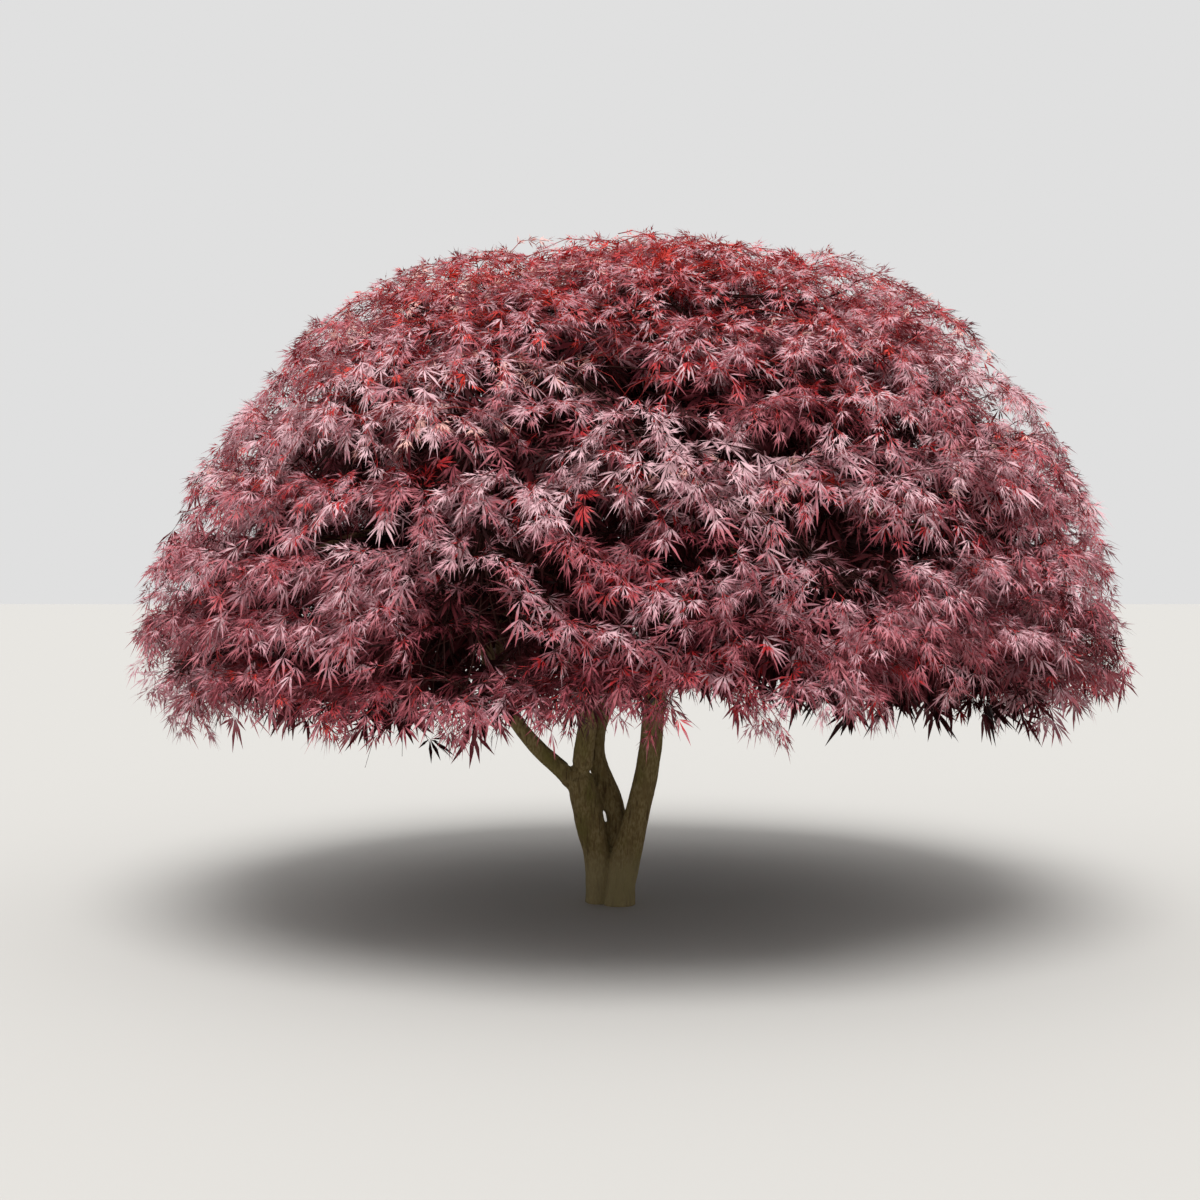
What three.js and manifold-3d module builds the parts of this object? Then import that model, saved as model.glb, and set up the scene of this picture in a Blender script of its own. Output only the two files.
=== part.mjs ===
// A cut-leaved weeping Japanese maple with dark red leaves, as a grown garden tree.
// Units are millimetres and +Z is up. The origin is on the ground, under the middle of the foot.
// +X is to the right of the tree's best side, and that side faces -Y.
// The trunk divides into stems, the stems into boughs, and each bough carries one mass of foliage.
import * as THREE from "three";
import Module from "manifold-3d";

const wasm = await Module();
wasm.setup();

// Driving sizes.
const SEED = 20417;
const GAP = 0.3;

// The crown is a round form about its centre. Its surface is where the furthest tips end.
const CROWN = {
  centre: new THREE.Vector3(70, 0, 850),
  left: 1860,
  right: 1865,
  depth: 1750,
  up: 1790,
  down: 470,
};

// Where the crown swells or sinks from that round form, by the angle from the top to the right.
const SWELLS = [
  { at: -54, width: 11, by: -0.035 },
  { at: -15, width: 11, by: -0.04 },
  { at: 45, width: 15, by: 0.015 },
];

// The height of the lowest tips: at the sides, and how much higher at the front, back and right.
const SKIRT = { sides: 600, front: 190, back: 90, right: 70 };

// The shell that the foliage fills, as shares of the way out to the crown's surface.
// A bough meets its mass at the hub, on the inner side. Tiers lean out by TIER_LEAN degrees a share.
const SHELL = { hub: 0.76, hubDown: 0.24, edge: 0.88, skin: 2 };
const TIER_LEAN = 60;
const CELL_MARGIN = 12;

// The tiers of foliage from the top down: where each begins and ends as an angle from straight up,
// how many masses go round it, and how many sprays each row of a mass has.
const TIERS = [
  { name: "crown_top", from: 0, to: 19, sectors: 1, turn: 0, rows: [1, 6] },
  { name: "upper", from: 19, to: 43, sectors: 5, turn: 24, rows: [2, 3, 4] },
  { name: "middle", from: 43, to: 68, sectors: 8, turn: 9, rows: [2, 3, 3] },
  { name: "skirt", from: 68, to: 99, sectors: 9, turn: 30, rows: [3, 2, 3] },
];

// Foliage sizes.
const CORE = {
  rim: 0.84,
  swell: 0.035,
  hollow: 0.03,
  lump: 0.028,
  sink: 0.3,
  edge: 0.96,
  hang: 0.1,
  corner: 3.4,
  spokes: 12,
  rings: [0.42, 0.76],
};
const PAD = {
  share: 0.945,
  apart: 0.026,
  crest: 0.02,
  jitter: 0.24,
  edge: 0.97,
  row: 0.46,
  middle: 0.05,
};
const LEAF = {
  length: 285,
  thick: 10,
  lobes: [0.62, 0.82, 0.97, 1.08, 0.97, 0.82, 0.62],
  spread: 142,
  notch: 0.45,
  back: 0.2,
  stand: 0.034,
  yaw: 0.5,
  drawn: [1, 0.86, 0.72, 0.58, 0.46, 0.34],
};
const TWIG = { root: 8, tip: 4.5, sides: 3, from: 0.6, depth: 0.848 };
const MASS_STEM = { root: 11, tip: 8, reach: 0.09 };

// Bough sizes: the radius at each end, how far it arches as a share of its length, and its faces.
// The first bough of a parent leaves it at the share "leaves", and the next ones "next" further on.
// Crowding is how much less a parent suits a cell for each bough that it has already.
const BOUGHS = {
  middle: { root: 24, tip: 12, lift: 0.1, sides: 6, steps: 7, leaves: 0.8, next: 0.2, crowding: 0.5 },
  upper: { root: 20, tip: 11, lift: -0.04, sides: 5, steps: 6, leaves: 1, next: 0, crowding: 0.7 },
  skirt: { root: 16, tip: 10, lift: 0.13, sides: 5, steps: 6, leaves: 0.36, next: 0.1, crowding: 220 },
};
const BOUGH_WANDER = 0.055;
const BOUGH_COURSE = [[0.22, 0.55], [0.5, 1], [0.78, 0.75]];

// A limb's solid begins where it is clear of its neighbours, and a stub before that stays with
// the limb that carries it. The stems' feet swell towards the ground.
const CUT = { samples: 60, clearance: 5, latest: 0.6, beyond: 14, steps: 2 };
const FOOT = { fade: 14, beyond: 30, steps: 6 };

const UP = new THREE.Vector3(0, 0, 1);

// A repeatable stream of numbers from 0 to 1.
function stream(seed) {
  let state = seed >>> 0;
  return () => {
    state = (state + 0x6d2b79f5) >>> 0;
    let mixed = Math.imul(state ^ (state >>> 15), 1 | state);
    mixed = (mixed + Math.imul(mixed ^ (mixed >>> 7), 61 | mixed)) ^ mixed;
    return ((mixed ^ (mixed >>> 14)) >>> 0) / 4294967296;
  };
}

function vector(x, y, z) {
  return new THREE.Vector3(x, y, z);
}

// Closed solids from points and triangles.
function solidOf(points, triangles) {
  const vertProperties = new Float32Array(points.flatMap((p) => [p.x, p.y, p.z]));
  const triVerts = new Uint32Array(triangles.flat());
  return new wasm.Manifold(new wasm.Mesh({ numProp: 3, vertProperties, triVerts }));
}

// Fusing may seal a small hollow or leave a scrap: the largest body alone is kept, solid throughout.
function fuse(solids) {
  const whole = solids.reduce((sum, piece) => sum.add(piece));
  return whole.decompose().sort((a, b) => b.volume() - a.volume())[0];
}

function meshOf(name, solid, material) {
  const made = solid.getMesh();
  const geometry = new THREE.BufferGeometry();
  geometry.setAttribute("position", new THREE.BufferAttribute(made.vertProperties, 3));
  geometry.setIndex(new THREE.BufferAttribute(made.triVerts, 1));
  geometry.computeVertexNormals();
  const mesh = new THREE.Mesh(geometry, material);
  mesh.name = name;
  return mesh;
}

// A closed tube from rings of points, with a fan at each end.
function tubeOf(rings) {
  const sides = rings[0].length;
  const points = rings.flat();
  const triangles = [];
  for (let ring = 0; ring + 1 < rings.length; ring++) {
    for (let i = 0; i < sides; i++) {
      const j = (i + 1) % sides;
      const [a, b] = [ring * sides + i, ring * sides + j];
      triangles.push([a, b, b + sides], [a, b + sides, a + sides]);
    }
  }
  const last = (rings.length - 1) * sides;
  for (let i = 1; i + 1 < sides; i++) {
    triangles.push([0, i + 1, i], [last, last + i, last + i + 1]);
  }
  return solidOf(points, triangles);
}

function ringAround(centre, along, side, radius, sides) {
  const across = side.clone().addScaledVector(along, -side.dot(along)).normalize();
  const other = along.clone().cross(across);
  return Array.from({ length: sides }, (_, i) => {
    const turn = (2 * Math.PI * i) / sides;
    return centre
      .clone()
      .addScaledVector(across, radius * Math.cos(turn))
      .addScaledVector(other, radius * Math.sin(turn));
  });
}

// A limb is a curve with a radius along it. It may carry other limbs, and begins at its own cut.
function limb({ name, points, root, tip, side, sides, steps = 7, flare = 0 }) {
  const curve = new THREE.CatmullRomCurve3(points, false, "centripetal");
  curve.arcLengthDivisions = 400;
  const radiusAt = (u) => (root + (tip - root) * u) * (1 + flare * Math.exp(-FOOT.fade * u));
  return { name, curve, side, sides, steps, radiusAt, length: curve.getLength(), cut: 0, carried: [] };
}

function limbTube(part, from, to, steps) {
  const rings = Array.from({ length: steps + 1 }, (_, i) => {
    const u = Math.min(to, from + ((to - from) * i) / steps);
    const { curve, side, sides } = part;
    return ringAround(curve.getPointAt(u), curve.getTangentAt(u), side, part.radiusAt(u), sides);
  });
  return tubeOf(rings);
}

// Where a limb is clear of the others that start beside it, as a share of its length.
function clearedAt(part, others) {
  const shares = Array.from({ length: CUT.samples + 1 }, (_, i) => i / CUT.samples);
  const spots = others.flatMap((other) =>
    shares.map((u) => ({ at: other.curve.getPointAt(u), radius: other.radiusAt(u) })),
  );
  const touches = (u) => {
    const here = part.curve.getPointAt(u);
    const room = part.radiusAt(u) + CUT.clearance;
    return spots.some((spot) => spot.at.distanceTo(here) < room + spot.radius);
  };
  const touching = shares.filter((u) => u < CUT.latest && touches(u));
  return Math.max(0, ...touching) + CUT.beyond / part.length;
}

// The solid of a limb: from its own cut to its tip, with a stub for each limb that it carries.
function limbSolid(part) {
  const stubs = part.carried.map((next) => limbTube(next, 0, next.cut, CUT.steps));
  return fuse([limbTube(part, part.cut + GAP / part.length, 1, part.steps), ...stubs]);
}

function carry(parent, children) {
  for (const child of children) {
    const others = children.filter((other) => other !== child);
    child.cut = clearedAt(child, [parent, ...others]);
  }
  parent.carried.push(...children);
}

// Angles, in radians unless named otherwise.
const radians = THREE.MathUtils.degToRad;
const angleBetween = (a, b) => Math.atan2(Math.sin(a - b), Math.cos(a - b));

// The crown's surface, as a distance from its centre in a direction.
function crownRadius(direction) {
  const side = direction.x > 0 ? CROWN.right : CROWN.left;
  const height = direction.z > 0 ? CROWN.up : CROWN.down;
  const sum = (direction.x / side) ** 2 + (direction.y / CROWN.depth) ** 2 + (direction.z / height) ** 2;
  const lean = Math.atan2(direction.x, direction.z);
  const swell = SWELLS.reduce(
    (total, { at, width, by }) => total + by * Math.exp(-(((lean - radians(at)) / radians(width)) ** 2)),
    0,
  );
  return (1 + swell * (1 - direction.y ** 2)) / Math.sqrt(sum);
}

function crownPoint(turn, tilt, share) {
  const direction = vector(
    Math.sin(tilt) * Math.cos(turn),
    Math.sin(tilt) * Math.sin(turn),
    Math.cos(tilt),
  );
  return direction.clone().multiplyScalar(share * crownRadius(direction)).add(CROWN.centre);
}

// Where a point is in the crown.
function placeOf(point) {
  const arm = point.clone().sub(CROWN.centre);
  const reach = arm.length();
  const direction = arm.divideScalar(reach);
  const radius = crownRadius(direction);
  return {
    reach,
    radius,
    direction,
    share: reach / radius,
    tilt: Math.acos(direction.z),
    turn: Math.atan2(direction.y, direction.x),
  };
}

// Directions on the crown at a point: out of it, down over it, and across.
function compass(point) {
  const { direction } = placeOf(point);
  const side = direction.x > 0 ? CROWN.right : CROWN.left;
  const height = direction.z > 0 ? CROWN.up : CROWN.down;
  const out = vector(direction.x / side ** 2, direction.y / CROWN.depth ** 2, direction.z / height ** 2);
  out.normalize();
  const across = UP.clone().cross(vector(direction.x, direction.y, 0)).normalize();
  return { out, across, down: across.clone().cross(out).normalize() };
}

function skirtBottom(turn) {
  const facing = Math.sin(turn);
  const front = Math.max(0, -facing);
  const back = Math.max(0, facing);
  return SKIRT.sides + front * (SKIRT.front + SKIRT.right * Math.cos(turn)) + back * SKIRT.back;
}

// A cell is the space that one mass keeps to: a sector of a tier, between the shell's inner and
// outer surfaces. Each tier leans out over the one below it.
function cellOf(tier, index) {
  const width = (2 * Math.PI) / tier.sectors;
  return {
    name: tier.sectors > 1 ? tier.name + "_" + (index + 1) : tier.name,
    tier,
    turn: radians(tier.turn) + (index + 0.5) * width,
    half: width / 2,
    whole: tier.sectors === 1,
    last: tier === TIERS[TIERS.length - 1],
  };
}

const leanAt = (share) => radians(TIER_LEAN) * (share - SHELL.edge);
const upperEdge = (cell, share) => radians(cell.tier.from) + leanAt(share);

function lowerEdge(cell, share, turn) {
  if (!cell.last) return radians(cell.tier.to) + leanAt(share);
  return Math.PI / 2 + Math.asin((CROWN.centre.z - skirtBottom(turn)) / CROWN.depth);
}

function isInside(cell, point, margin) {
  const { reach, radius, share, tilt, turn } = placeOf(point);
  if (reach > radius - SHELL.skin || share < SHELL.hub) return false;
  const aside = cell.half - Math.abs(angleBetween(turn, cell.turn));
  if (!cell.whole && reach * Math.sin(tilt) * Math.sin(aside) < margin) return false;
  if (!cell.whole && (tilt - upperEdge(cell, share)) * reach < margin) return false;
  if (cell.last) return point.z > skirtBottom(turn);
  return (lowerEdge(cell, share, turn) - tilt) * reach > margin;
}

// Where in a cell: across is -1 to 1 over its width, down is 0 to 1 from its upper edge.
function cellPoint(cell, across, down, share) {
  const turn = cell.turn + cell.half * across;
  const top = cell.whole ? 0.01 : upperEdge(cell, share);
  return crownPoint(turn, top + (lowerEdge(cell, share, turn) - top) * down, share);
}

const hubOf = (cell) => cellPoint(cell, 0, cell.whole ? 0 : SHELL.hubDown, SHELL.hub);

// The rim of a leaf: pointed lobes round its middle and a short back. The leaf stands clear of the
// crown downhill. A lobe that would leave the cell is drawn in until it stays inside.
function leafRim(cell, middle, yaw) {
  const { across, down } = compass(middle);
  const { share } = placeOf(middle);
  const half = (LEAF.lobes.length - 1) / 2;
  const turnOf = (step) => (radians(LEAF.spread) * (step - half)) / half;
  const lobes = LEAF.lobes.flatMap((lobe, i) => [[turnOf(i), lobe], [turnOf(i + 0.5), LEAF.notch]]);
  const outline = [...lobes.slice(0, -1), [Math.PI, LEAF.back]];
  return outline.map(([turn, reach]) => {
    const [downhill, aside] = [Math.cos(turn + yaw), Math.sin(turn + yaw)];
    const spots = LEAF.drawn.map((drawn) => {
      const length = LEAF.length * reach * drawn;
      const flat = middle
        .clone()
        .addScaledVector(down, length * downhill)
        .addScaledVector(across, length * aside);
      const { direction, radius } = placeOf(flat);
      const stand = share + LEAF.stand * reach * drawn * downhill;
      return direction.multiplyScalar(radius * stand).add(CROWN.centre);
    });
    return spots.find((spot) => isInside(cell, spot, CELL_MARGIN));
  });
}

// One leaf stands for a spray. It is one closed solid with the twig that carries it from a fork.
function leafOnTwig(rim, middle, fork) {
  const { out, across, down } = compass(middle);
  const under = middle.clone().addScaledVector(out, -LEAF.thick / 2);
  const ring = (centre, radius) =>
    Array.from({ length: TWIG.sides }, (_, i) => {
      const turn = (2 * Math.PI * (i + 0.5)) / TWIG.sides - Math.PI;
      return centre
        .clone()
        .addScaledVector(down, radius * Math.cos(turn))
        .addScaledVector(across, radius * Math.sin(turn));
    });
  const upper = middle.clone().addScaledVector(out, LEAF.thick / 2);
  const points = [...rim, upper, ...ring(under, TWIG.tip), ...ring(fork, TWIG.root)];
  const [apex, tip, root] = [rim.length, rim.length + 1, rim.length + 1 + TWIG.sides];
  const nearest = (i) => Math.min(TWIG.sides - 1, Math.floor((TWIG.sides * i) / (rim.length - 1)));
  const triangles = [];
  rim.forEach((_, i) => {
    const j = (i + 1) % rim.length;
    const [a, b] = [tip + nearest(i), tip + nearest(j)];
    triangles.push([apex, i, j], [a, j, i]);
    if (a !== b) triangles.push([a, b, j]);
  });
  for (let i = 0; i < TWIG.sides; i++) {
    const j = (i + 1) % TWIG.sides;
    triangles.push([tip + i, root + i, tip + j], [tip + j, root + i, root + j]);
    if (i > 1) triangles.push([root, root + i, root + i - 1]);
  }
  return solidOf(points, triangles);
}

// The dense heart of a mass: a lumpy cushion that follows the crown, inside the leaves.
function coreSolid(cell, random) {
  const { spokes, rings } = CORE;
  const hang = cell.last ? CORE.hang : 0;
  const at = (ring, spoke, share) => {
    const turn = (2 * Math.PI * spoke) / spokes;
    if (cell.whole) return cellPoint(cell, turn / Math.PI, ring * CORE.edge, share);
    const [x, y] = [Math.cos(turn), Math.sin(turn)];
    const round = (Math.abs(x) ** CORE.corner + Math.abs(y) ** CORE.corner) ** (-1 / CORE.corner);
    const size = ring * CORE.edge * round;
    return cellPoint(cell, size * x, (0.5 + 0.5 * size * y) * (1 - hang), share);
  };
  const sides = [CORE.swell, -CORE.hollow];
  const points = [];
  for (const height of sides) {
    points.push(at(0, 0, CORE.rim + height));
    for (const ring of rings) {
      for (let spoke = 0; spoke < spokes; spoke++) {
        const lump = height > 0 ? CORE.lump * (random() - CORE.sink) : 0;
        points.push(at(ring, spoke, CORE.rim + height * (1 - ring ** 3) + lump));
      }
    }
  }
  for (let spoke = 0; spoke < spokes; spoke++) points.push(at(1, spoke, CORE.rim));
  const sheet = 1 + rings.length * spokes;
  const index = (side, ring, spoke) => {
    const start = ring < rings.length ? side * sheet + 1 + ring * spokes : 2 * sheet;
    return start + (spoke % spokes);
  };
  const triangles = [];
  sides.forEach((_, side) => {
    const add = (a, b, c) => triangles.push(side ? [a, b, c] : [a, c, b]);
    for (let spoke = 0; spoke < spokes; spoke++) {
      add(side * sheet, index(side, 0, spoke), index(side, 0, spoke + 1));
      for (let ring = 0; ring < rings.length; ring++) {
        const [a, b] = [index(side, ring, spoke), index(side, ring, spoke + 1)];
        const [c, d] = [index(side, ring + 1, spoke), index(side, ring + 1, spoke + 1)];
        add(a, c, d);
        add(a, d, b);
      }
    }
  });
  const core = solidOf(points, triangles);
  return core.volume() > 0 ? core : solidOf(points, triangles.map(([a, b, c]) => [a, c, b]));
}

// The sprays of a mass, in rows across its cell.
function padsOf(cell, random) {
  const { rows } = cell.tier;
  const shake = () => PAD.jitter * (random() - 0.5);
  return rows.flatMap((count, row) =>
    Array.from({ length: count }, (_, i) => ({
      across: PAD.edge * ((2 * (i + 0.5) + shake()) / count - 1),
      down: count === 1 ? PAD.middle : (row + PAD.row + shake()) / rows.length,
      share: PAD.share + PAD.apart * (((i + row) % 2) - 0.5) + (count === 1 ? PAD.crest : 0),
    })),
  );
}

// A whole mass: its stem, its core, and the twigs that end in leaves.
function massSolid(cell, seed) {
  const random = stream(seed);
  const hub = hubOf(cell);
  const along = cell.bough.curve.getTangentAt(1);
  const start = hub.clone().addScaledVector(along, GAP);
  const crotch = hub.clone().addScaledVector(compass(hub).out, MASS_STEM.reach * CROWN.depth);
  const stem = tubeOf([
    ringAround(start, along, cell.bough.side, MASS_STEM.root, TWIG.sides),
    ringAround(crotch, along, cell.bough.side, MASS_STEM.tip, TWIG.sides),
  ]);
  const pieces = [coreSolid(cell, random), stem];
  for (const pad of padsOf(cell, random)) {
    const middle = cellPoint(cell, pad.across, pad.down, pad.share);
    const rim = leafRim(cell, middle, LEAF.yaw * (random() - 0.5));
    if (rim.includes(undefined)) continue;
    const { direction, radius } = placeOf(crotch.clone().lerp(middle, TWIG.from));
    const fork = direction.multiplyScalar(radius * TWIG.depth).add(CROWN.centre);
    pieces.push(leafOnTwig(rim, middle, fork));
  }
  return fuse(pieces);
}

// The stems, from the foot up, by their course on the tree's best side.
const ACROSS = vector(1, 0, 0);
const stemLeft = limb({
  name: "stem_left",
  points: [
    vector(-38, 18, -30),
    vector(-48, 16, 170),
    vector(-74, 8, 310),
    vector(-100, 0, 410),
    vector(-118, -6, 480),
  ],
  root: 50,
  tip: 56,
  side: ACROSS,
  sides: 10,
  flare: 0.22,
});
const stemRight = limb({
  name: "stem_right",
  points: [
    vector(28, -22, -30),
    vector(50, -20, 170),
    vector(104, -14, 360),
    vector(146, -16, 560),
    vector(168, -30, 760),
    vector(204, -52, 960),
  ],
  root: 56,
  tip: 34,
  side: ACROSS,
  sides: 10,
  flare: 0.2,
});
const stemBack = limb({
  name: "stem_back",
  points: [
    vector(14, 30, -30),
    vector(30, 44, 260),
    vector(10, 62, 375),
    vector(-54, 82, 540),
    vector(-50, 98, 660),
    vector(4, 122, 790),
    vector(22, 150, 1000),
  ],
  root: 44,
  tip: 30,
  side: ACROSS,
  sides: 9,
  flare: 0.2,
});
const stemFront = limb({
  name: "stem_front",
  points: [
    vector(-112, -8, 470),
    vector(-98, -30, 600),
    vector(-84, -64, 750),
    vector(-118, -122, 920),
  ],
  root: 42,
  tip: 28,
  side: ACROSS,
  sides: 8,
  steps: 5,
});
const stemLow = limb({
  name: "stem_low_left",
  points: [
    vector(-110, -6, 420),
    vector(-176, -12, 500),
    vector(-272, -26, 592),
    vector(-376, -34, 728),
    vector(-452, -12, 905),
  ],
  root: 36,
  tip: 23,
  side: vector(0, 1, 0),
  sides: 8,
  steps: 6,
});

// A bough rises out of its parent, wanders a little, and bends over into its mass.
function boughTo(cell, parent, u, size, random) {
  const start = parent.curve.getPointAt(u);
  const hub = hubOf(cell);
  const run = hub.clone().sub(start);
  const side = UP.clone().cross(vector(run.x, run.y, 0)).normalize();
  const course = BOUGH_COURSE.map(([share, rise]) =>
    start
      .clone()
      .addScaledVector(run, share)
      .addScaledVector(UP, rise * size.lift * run.length())
      .addScaledVector(side, BOUGH_WANDER * run.length() * (2 * random() - 1)),
  );
  const points = [start, ...course, hub];
  return limb({ ...size, name: "bough_" + cell.name, points, side });
}

// The parent that suits a cell best: near it, and with few boughs already.
function choose(parents, families, distance, crowding) {
  const cost = (parent) => distance(parent) + crowding * families.get(parent).length;
  return parents.reduce((best, parent) => (cost(parent) < cost(best) ? parent : best));
}

const cells = TIERS.flatMap((tier) => Array.from({ length: tier.sectors }, (_, i) => cellOf(tier, i)));
const cellsOf = (...names) => cells.filter((cell) => names.includes(cell.tier.name));
const familyOf = (parents) => new Map(parents.map((parent) => [parent, []]));
const turnFrom = (cell) => (stem) => {
  const tip = stem.curve.getPointAt(1);
  return Math.abs(angleBetween(Math.atan2(tip.y, tip.x), cell.turn));
};

const random = stream(SEED);
const crownStems = [stemLow, stemFront, stemBack, stemRight];
const families = familyOf(crownStems);
const boughs = [];

function grow(cell, parents, family, distance, size) {
  const parent = choose(parents, family, distance, size.crowding);
  const place = family.get(parent).length;
  const u = Math.min(1, size.leaves + size.next * place);
  cell.bough = boughTo(cell, parent, u, size, random);
  family.get(parent).push(cell.bough);
  boughs.push(cell.bough);
}

// Main boughs carry the middle tier. They leave a stem at its end or a fifth of the way below it.
for (const cell of cellsOf("middle")) {
  grow(cell, crownStems, families, turnFrom(cell), BOUGHS.middle);
}
const mainBoughs = [...boughs];

// The crown's upper boughs go straight on from the ends of the three tall stems.
for (const cell of cellsOf("upper", "crown_top")) {
  grow(cell, crownStems.slice(1), families, turnFrom(cell), BOUGHS.upper);
}

// The skirt's boughs leave the main boughs on the way, and arch over to hang outside them.
const skirtFamilies = familyOf(mainBoughs);
for (const cell of cellsOf("skirt")) {
  const hub = hubOf(cell);
  const distance = (bough) => bough.curve.getPointAt(0.5).distanceTo(hub);
  grow(cell, mainBoughs, skirtFamilies, distance, BOUGHS.skirt);
}

for (const [parent, children] of [...skirtFamilies, ...families]) carry(parent, children);
carry(stemLeft, [stemFront, stemLow]);

// The trunk is the foot of the left, right and back stems, grown together and cut flat at the ground.
const feet = [stemLeft, stemRight, stemBack];
for (const foot of feet) {
  const others = feet.filter((other) => other !== foot);
  foot.cut = clearedAt(foot, others) + FOOT.beyond / foot.length;
}
const trunk = fuse(feet.map((foot) => limbTube(foot, 0, foot.cut, FOOT.steps))).trimByPlane([0, 0, 1], 0);

const finish = (color, roughness) => new THREE.MeshStandardMaterial({ color, roughness, metalness: 0 });
const bark = finish(0x5d5142, 0.9);
const youngBark = finish(0x46382f, 0.85);
const foliage = finish(0x7c4452, 0.7);
const newGrowth = finish(0xa03a36, 0.65);

const tree = new THREE.Group();
tree.add(meshOf("trunk", trunk, bark));
for (const stem of [stemLeft, ...crownStems]) tree.add(meshOf(stem.name, limbSolid(stem), bark));
for (const bough of boughs) tree.add(meshOf(bough.name, limbSolid(bough), youngBark));
cells.forEach((cell, i) => {
  const material = cell.whole ? newGrowth : foliage;
  tree.add(meshOf("foliage_" + cell.name, massSolid(cell, SEED + 101 * (i + 1)), material));
});

export default tree;
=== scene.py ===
# %% [markdown]
# # A weeping cut-leaved maple in dark red leaf
# The real tree is an umbrella of deeply cut leaves on arching twigs, on a short trunk that
# divides into leaning stems. Plain solids of it exist already, one for each stem and bough, and
# one lump for each mass of foliage. This lesson keeps them as a fixed frame and grows the looks
# round them: bark with relief, then twigs, then leaves by the ten thousand.

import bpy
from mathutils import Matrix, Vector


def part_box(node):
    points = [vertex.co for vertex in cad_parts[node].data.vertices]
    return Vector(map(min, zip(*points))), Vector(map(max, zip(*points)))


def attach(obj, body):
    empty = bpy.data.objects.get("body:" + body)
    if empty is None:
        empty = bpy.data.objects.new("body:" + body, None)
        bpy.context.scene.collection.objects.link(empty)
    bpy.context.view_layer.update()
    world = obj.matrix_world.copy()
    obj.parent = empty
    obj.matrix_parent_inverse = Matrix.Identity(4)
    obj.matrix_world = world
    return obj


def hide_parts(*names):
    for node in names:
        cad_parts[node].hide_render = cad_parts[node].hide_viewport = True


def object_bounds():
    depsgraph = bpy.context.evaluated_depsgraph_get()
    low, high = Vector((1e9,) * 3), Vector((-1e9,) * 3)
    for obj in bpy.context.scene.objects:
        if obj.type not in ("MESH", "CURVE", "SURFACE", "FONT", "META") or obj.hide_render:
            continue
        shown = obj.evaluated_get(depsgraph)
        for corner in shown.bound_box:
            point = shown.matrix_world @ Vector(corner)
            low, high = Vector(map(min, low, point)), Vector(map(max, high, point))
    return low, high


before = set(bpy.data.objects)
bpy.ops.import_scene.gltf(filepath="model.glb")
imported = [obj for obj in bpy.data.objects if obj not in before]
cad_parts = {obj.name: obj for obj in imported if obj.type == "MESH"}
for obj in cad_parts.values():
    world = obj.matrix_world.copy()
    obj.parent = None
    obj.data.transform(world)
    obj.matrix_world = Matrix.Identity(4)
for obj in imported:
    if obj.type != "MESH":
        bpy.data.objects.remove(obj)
solid_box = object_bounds()
print("solids in the frame:", len(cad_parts))

# %% Modules, and two helpers
import math

import bmesh
import bpy
import numpy as np
from mathutils import Vector, noise

scene = bpy.context.scene
UP = np.array([0.0, 0.0, 1.0])


def placed(name, data):
    """An object made from its data, and linked to the scene."""
    thing = bpy.data.objects.new(name, data)
    scene.collection.objects.link(thing)
    return thing


def new_material(name):
    """A material, with its node tree and its shader."""
    material = bpy.data.materials.new(name)
    material.use_nodes = True
    return material, material.node_tree, material.node_tree.nodes["Principled BSDF"]


# %% [markdown]
# ## The camera
# A portrait of a tree is taken from a few paces off, at eye height, with the lens nearly level.
# The focal length was worked out in pixels of a square picture. A camera wants it in
# millimetres, so it is scaled by the sensor's width over the picture's.

# %% Camera
PICTURE_SIDE = 1200
FOCAL_PIXELS = 1855
SENSOR_WIDTH = 36.0
EYE = (-0.04, -7.0, 1.4)
TIPPED_DOWN = math.radians(2.04)

lens = bpy.data.cameras.new("camera")
lens.sensor_width = SENSOR_WIDTH
lens.lens = SENSOR_WIDTH * FOCAL_PIXELS / PICTURE_SIDE
camera = placed("camera", lens)
camera.location = EYE
camera.rotation_euler = (math.pi / 2 - TIPPED_DOWN, 0, 0)
scene.camera = camera
print("focal length in millimetres:", round(lens.lens, 2))

# %% [markdown]
# ## The rule that the tree grows by
# The solids were grown by a rule, and the leaves have to grow by the same one, or they would
# miss the boughs that carry them. So it is written again here, in metres. The crown is a round
# form with a few swells. It has tiers from the top down, and each tier is divided into cells
# that are filled by one mass of foliage each.

# %% The crown's form
SEED = 20417
CROWN_CENTRE = np.array([0.07, 0.0, 0.85])
CROWN = {"left": 1.86, "right": 1.865, "depth": 1.75, "up": 1.79, "down": 0.47}
SWELLS = [(-54, 11, -0.035), (-15, 11, -0.04), (45, 15, 0.015)]
SKIRT = {"sides": 0.6, "front": 0.19, "back": 0.09, "right": 0.07}
SHELL = {"hub": 0.76, "hub_down": 0.24, "edge": 0.88}
TIER_LEAN = math.radians(60)
TIERS = [
    {"name": "crown_top", "from": 0, "to": 19, "sectors": 1, "turn": 0, "rows": [1, 6]},
    {"name": "upper", "from": 19, "to": 43, "sectors": 5, "turn": 24, "rows": [2, 3, 4]},
    {"name": "middle", "from": 43, "to": 68, "sectors": 8, "turn": 9, "rows": [2, 3, 3]},
    {"name": "skirt", "from": 68, "to": 99, "sectors": 9, "turn": 30, "rows": [3, 2, 3]},
]


def unit(v):
    """Each vector made one long."""
    return v / np.maximum(np.linalg.norm(v, axis=-1, keepdims=True), 1e-9)


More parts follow.
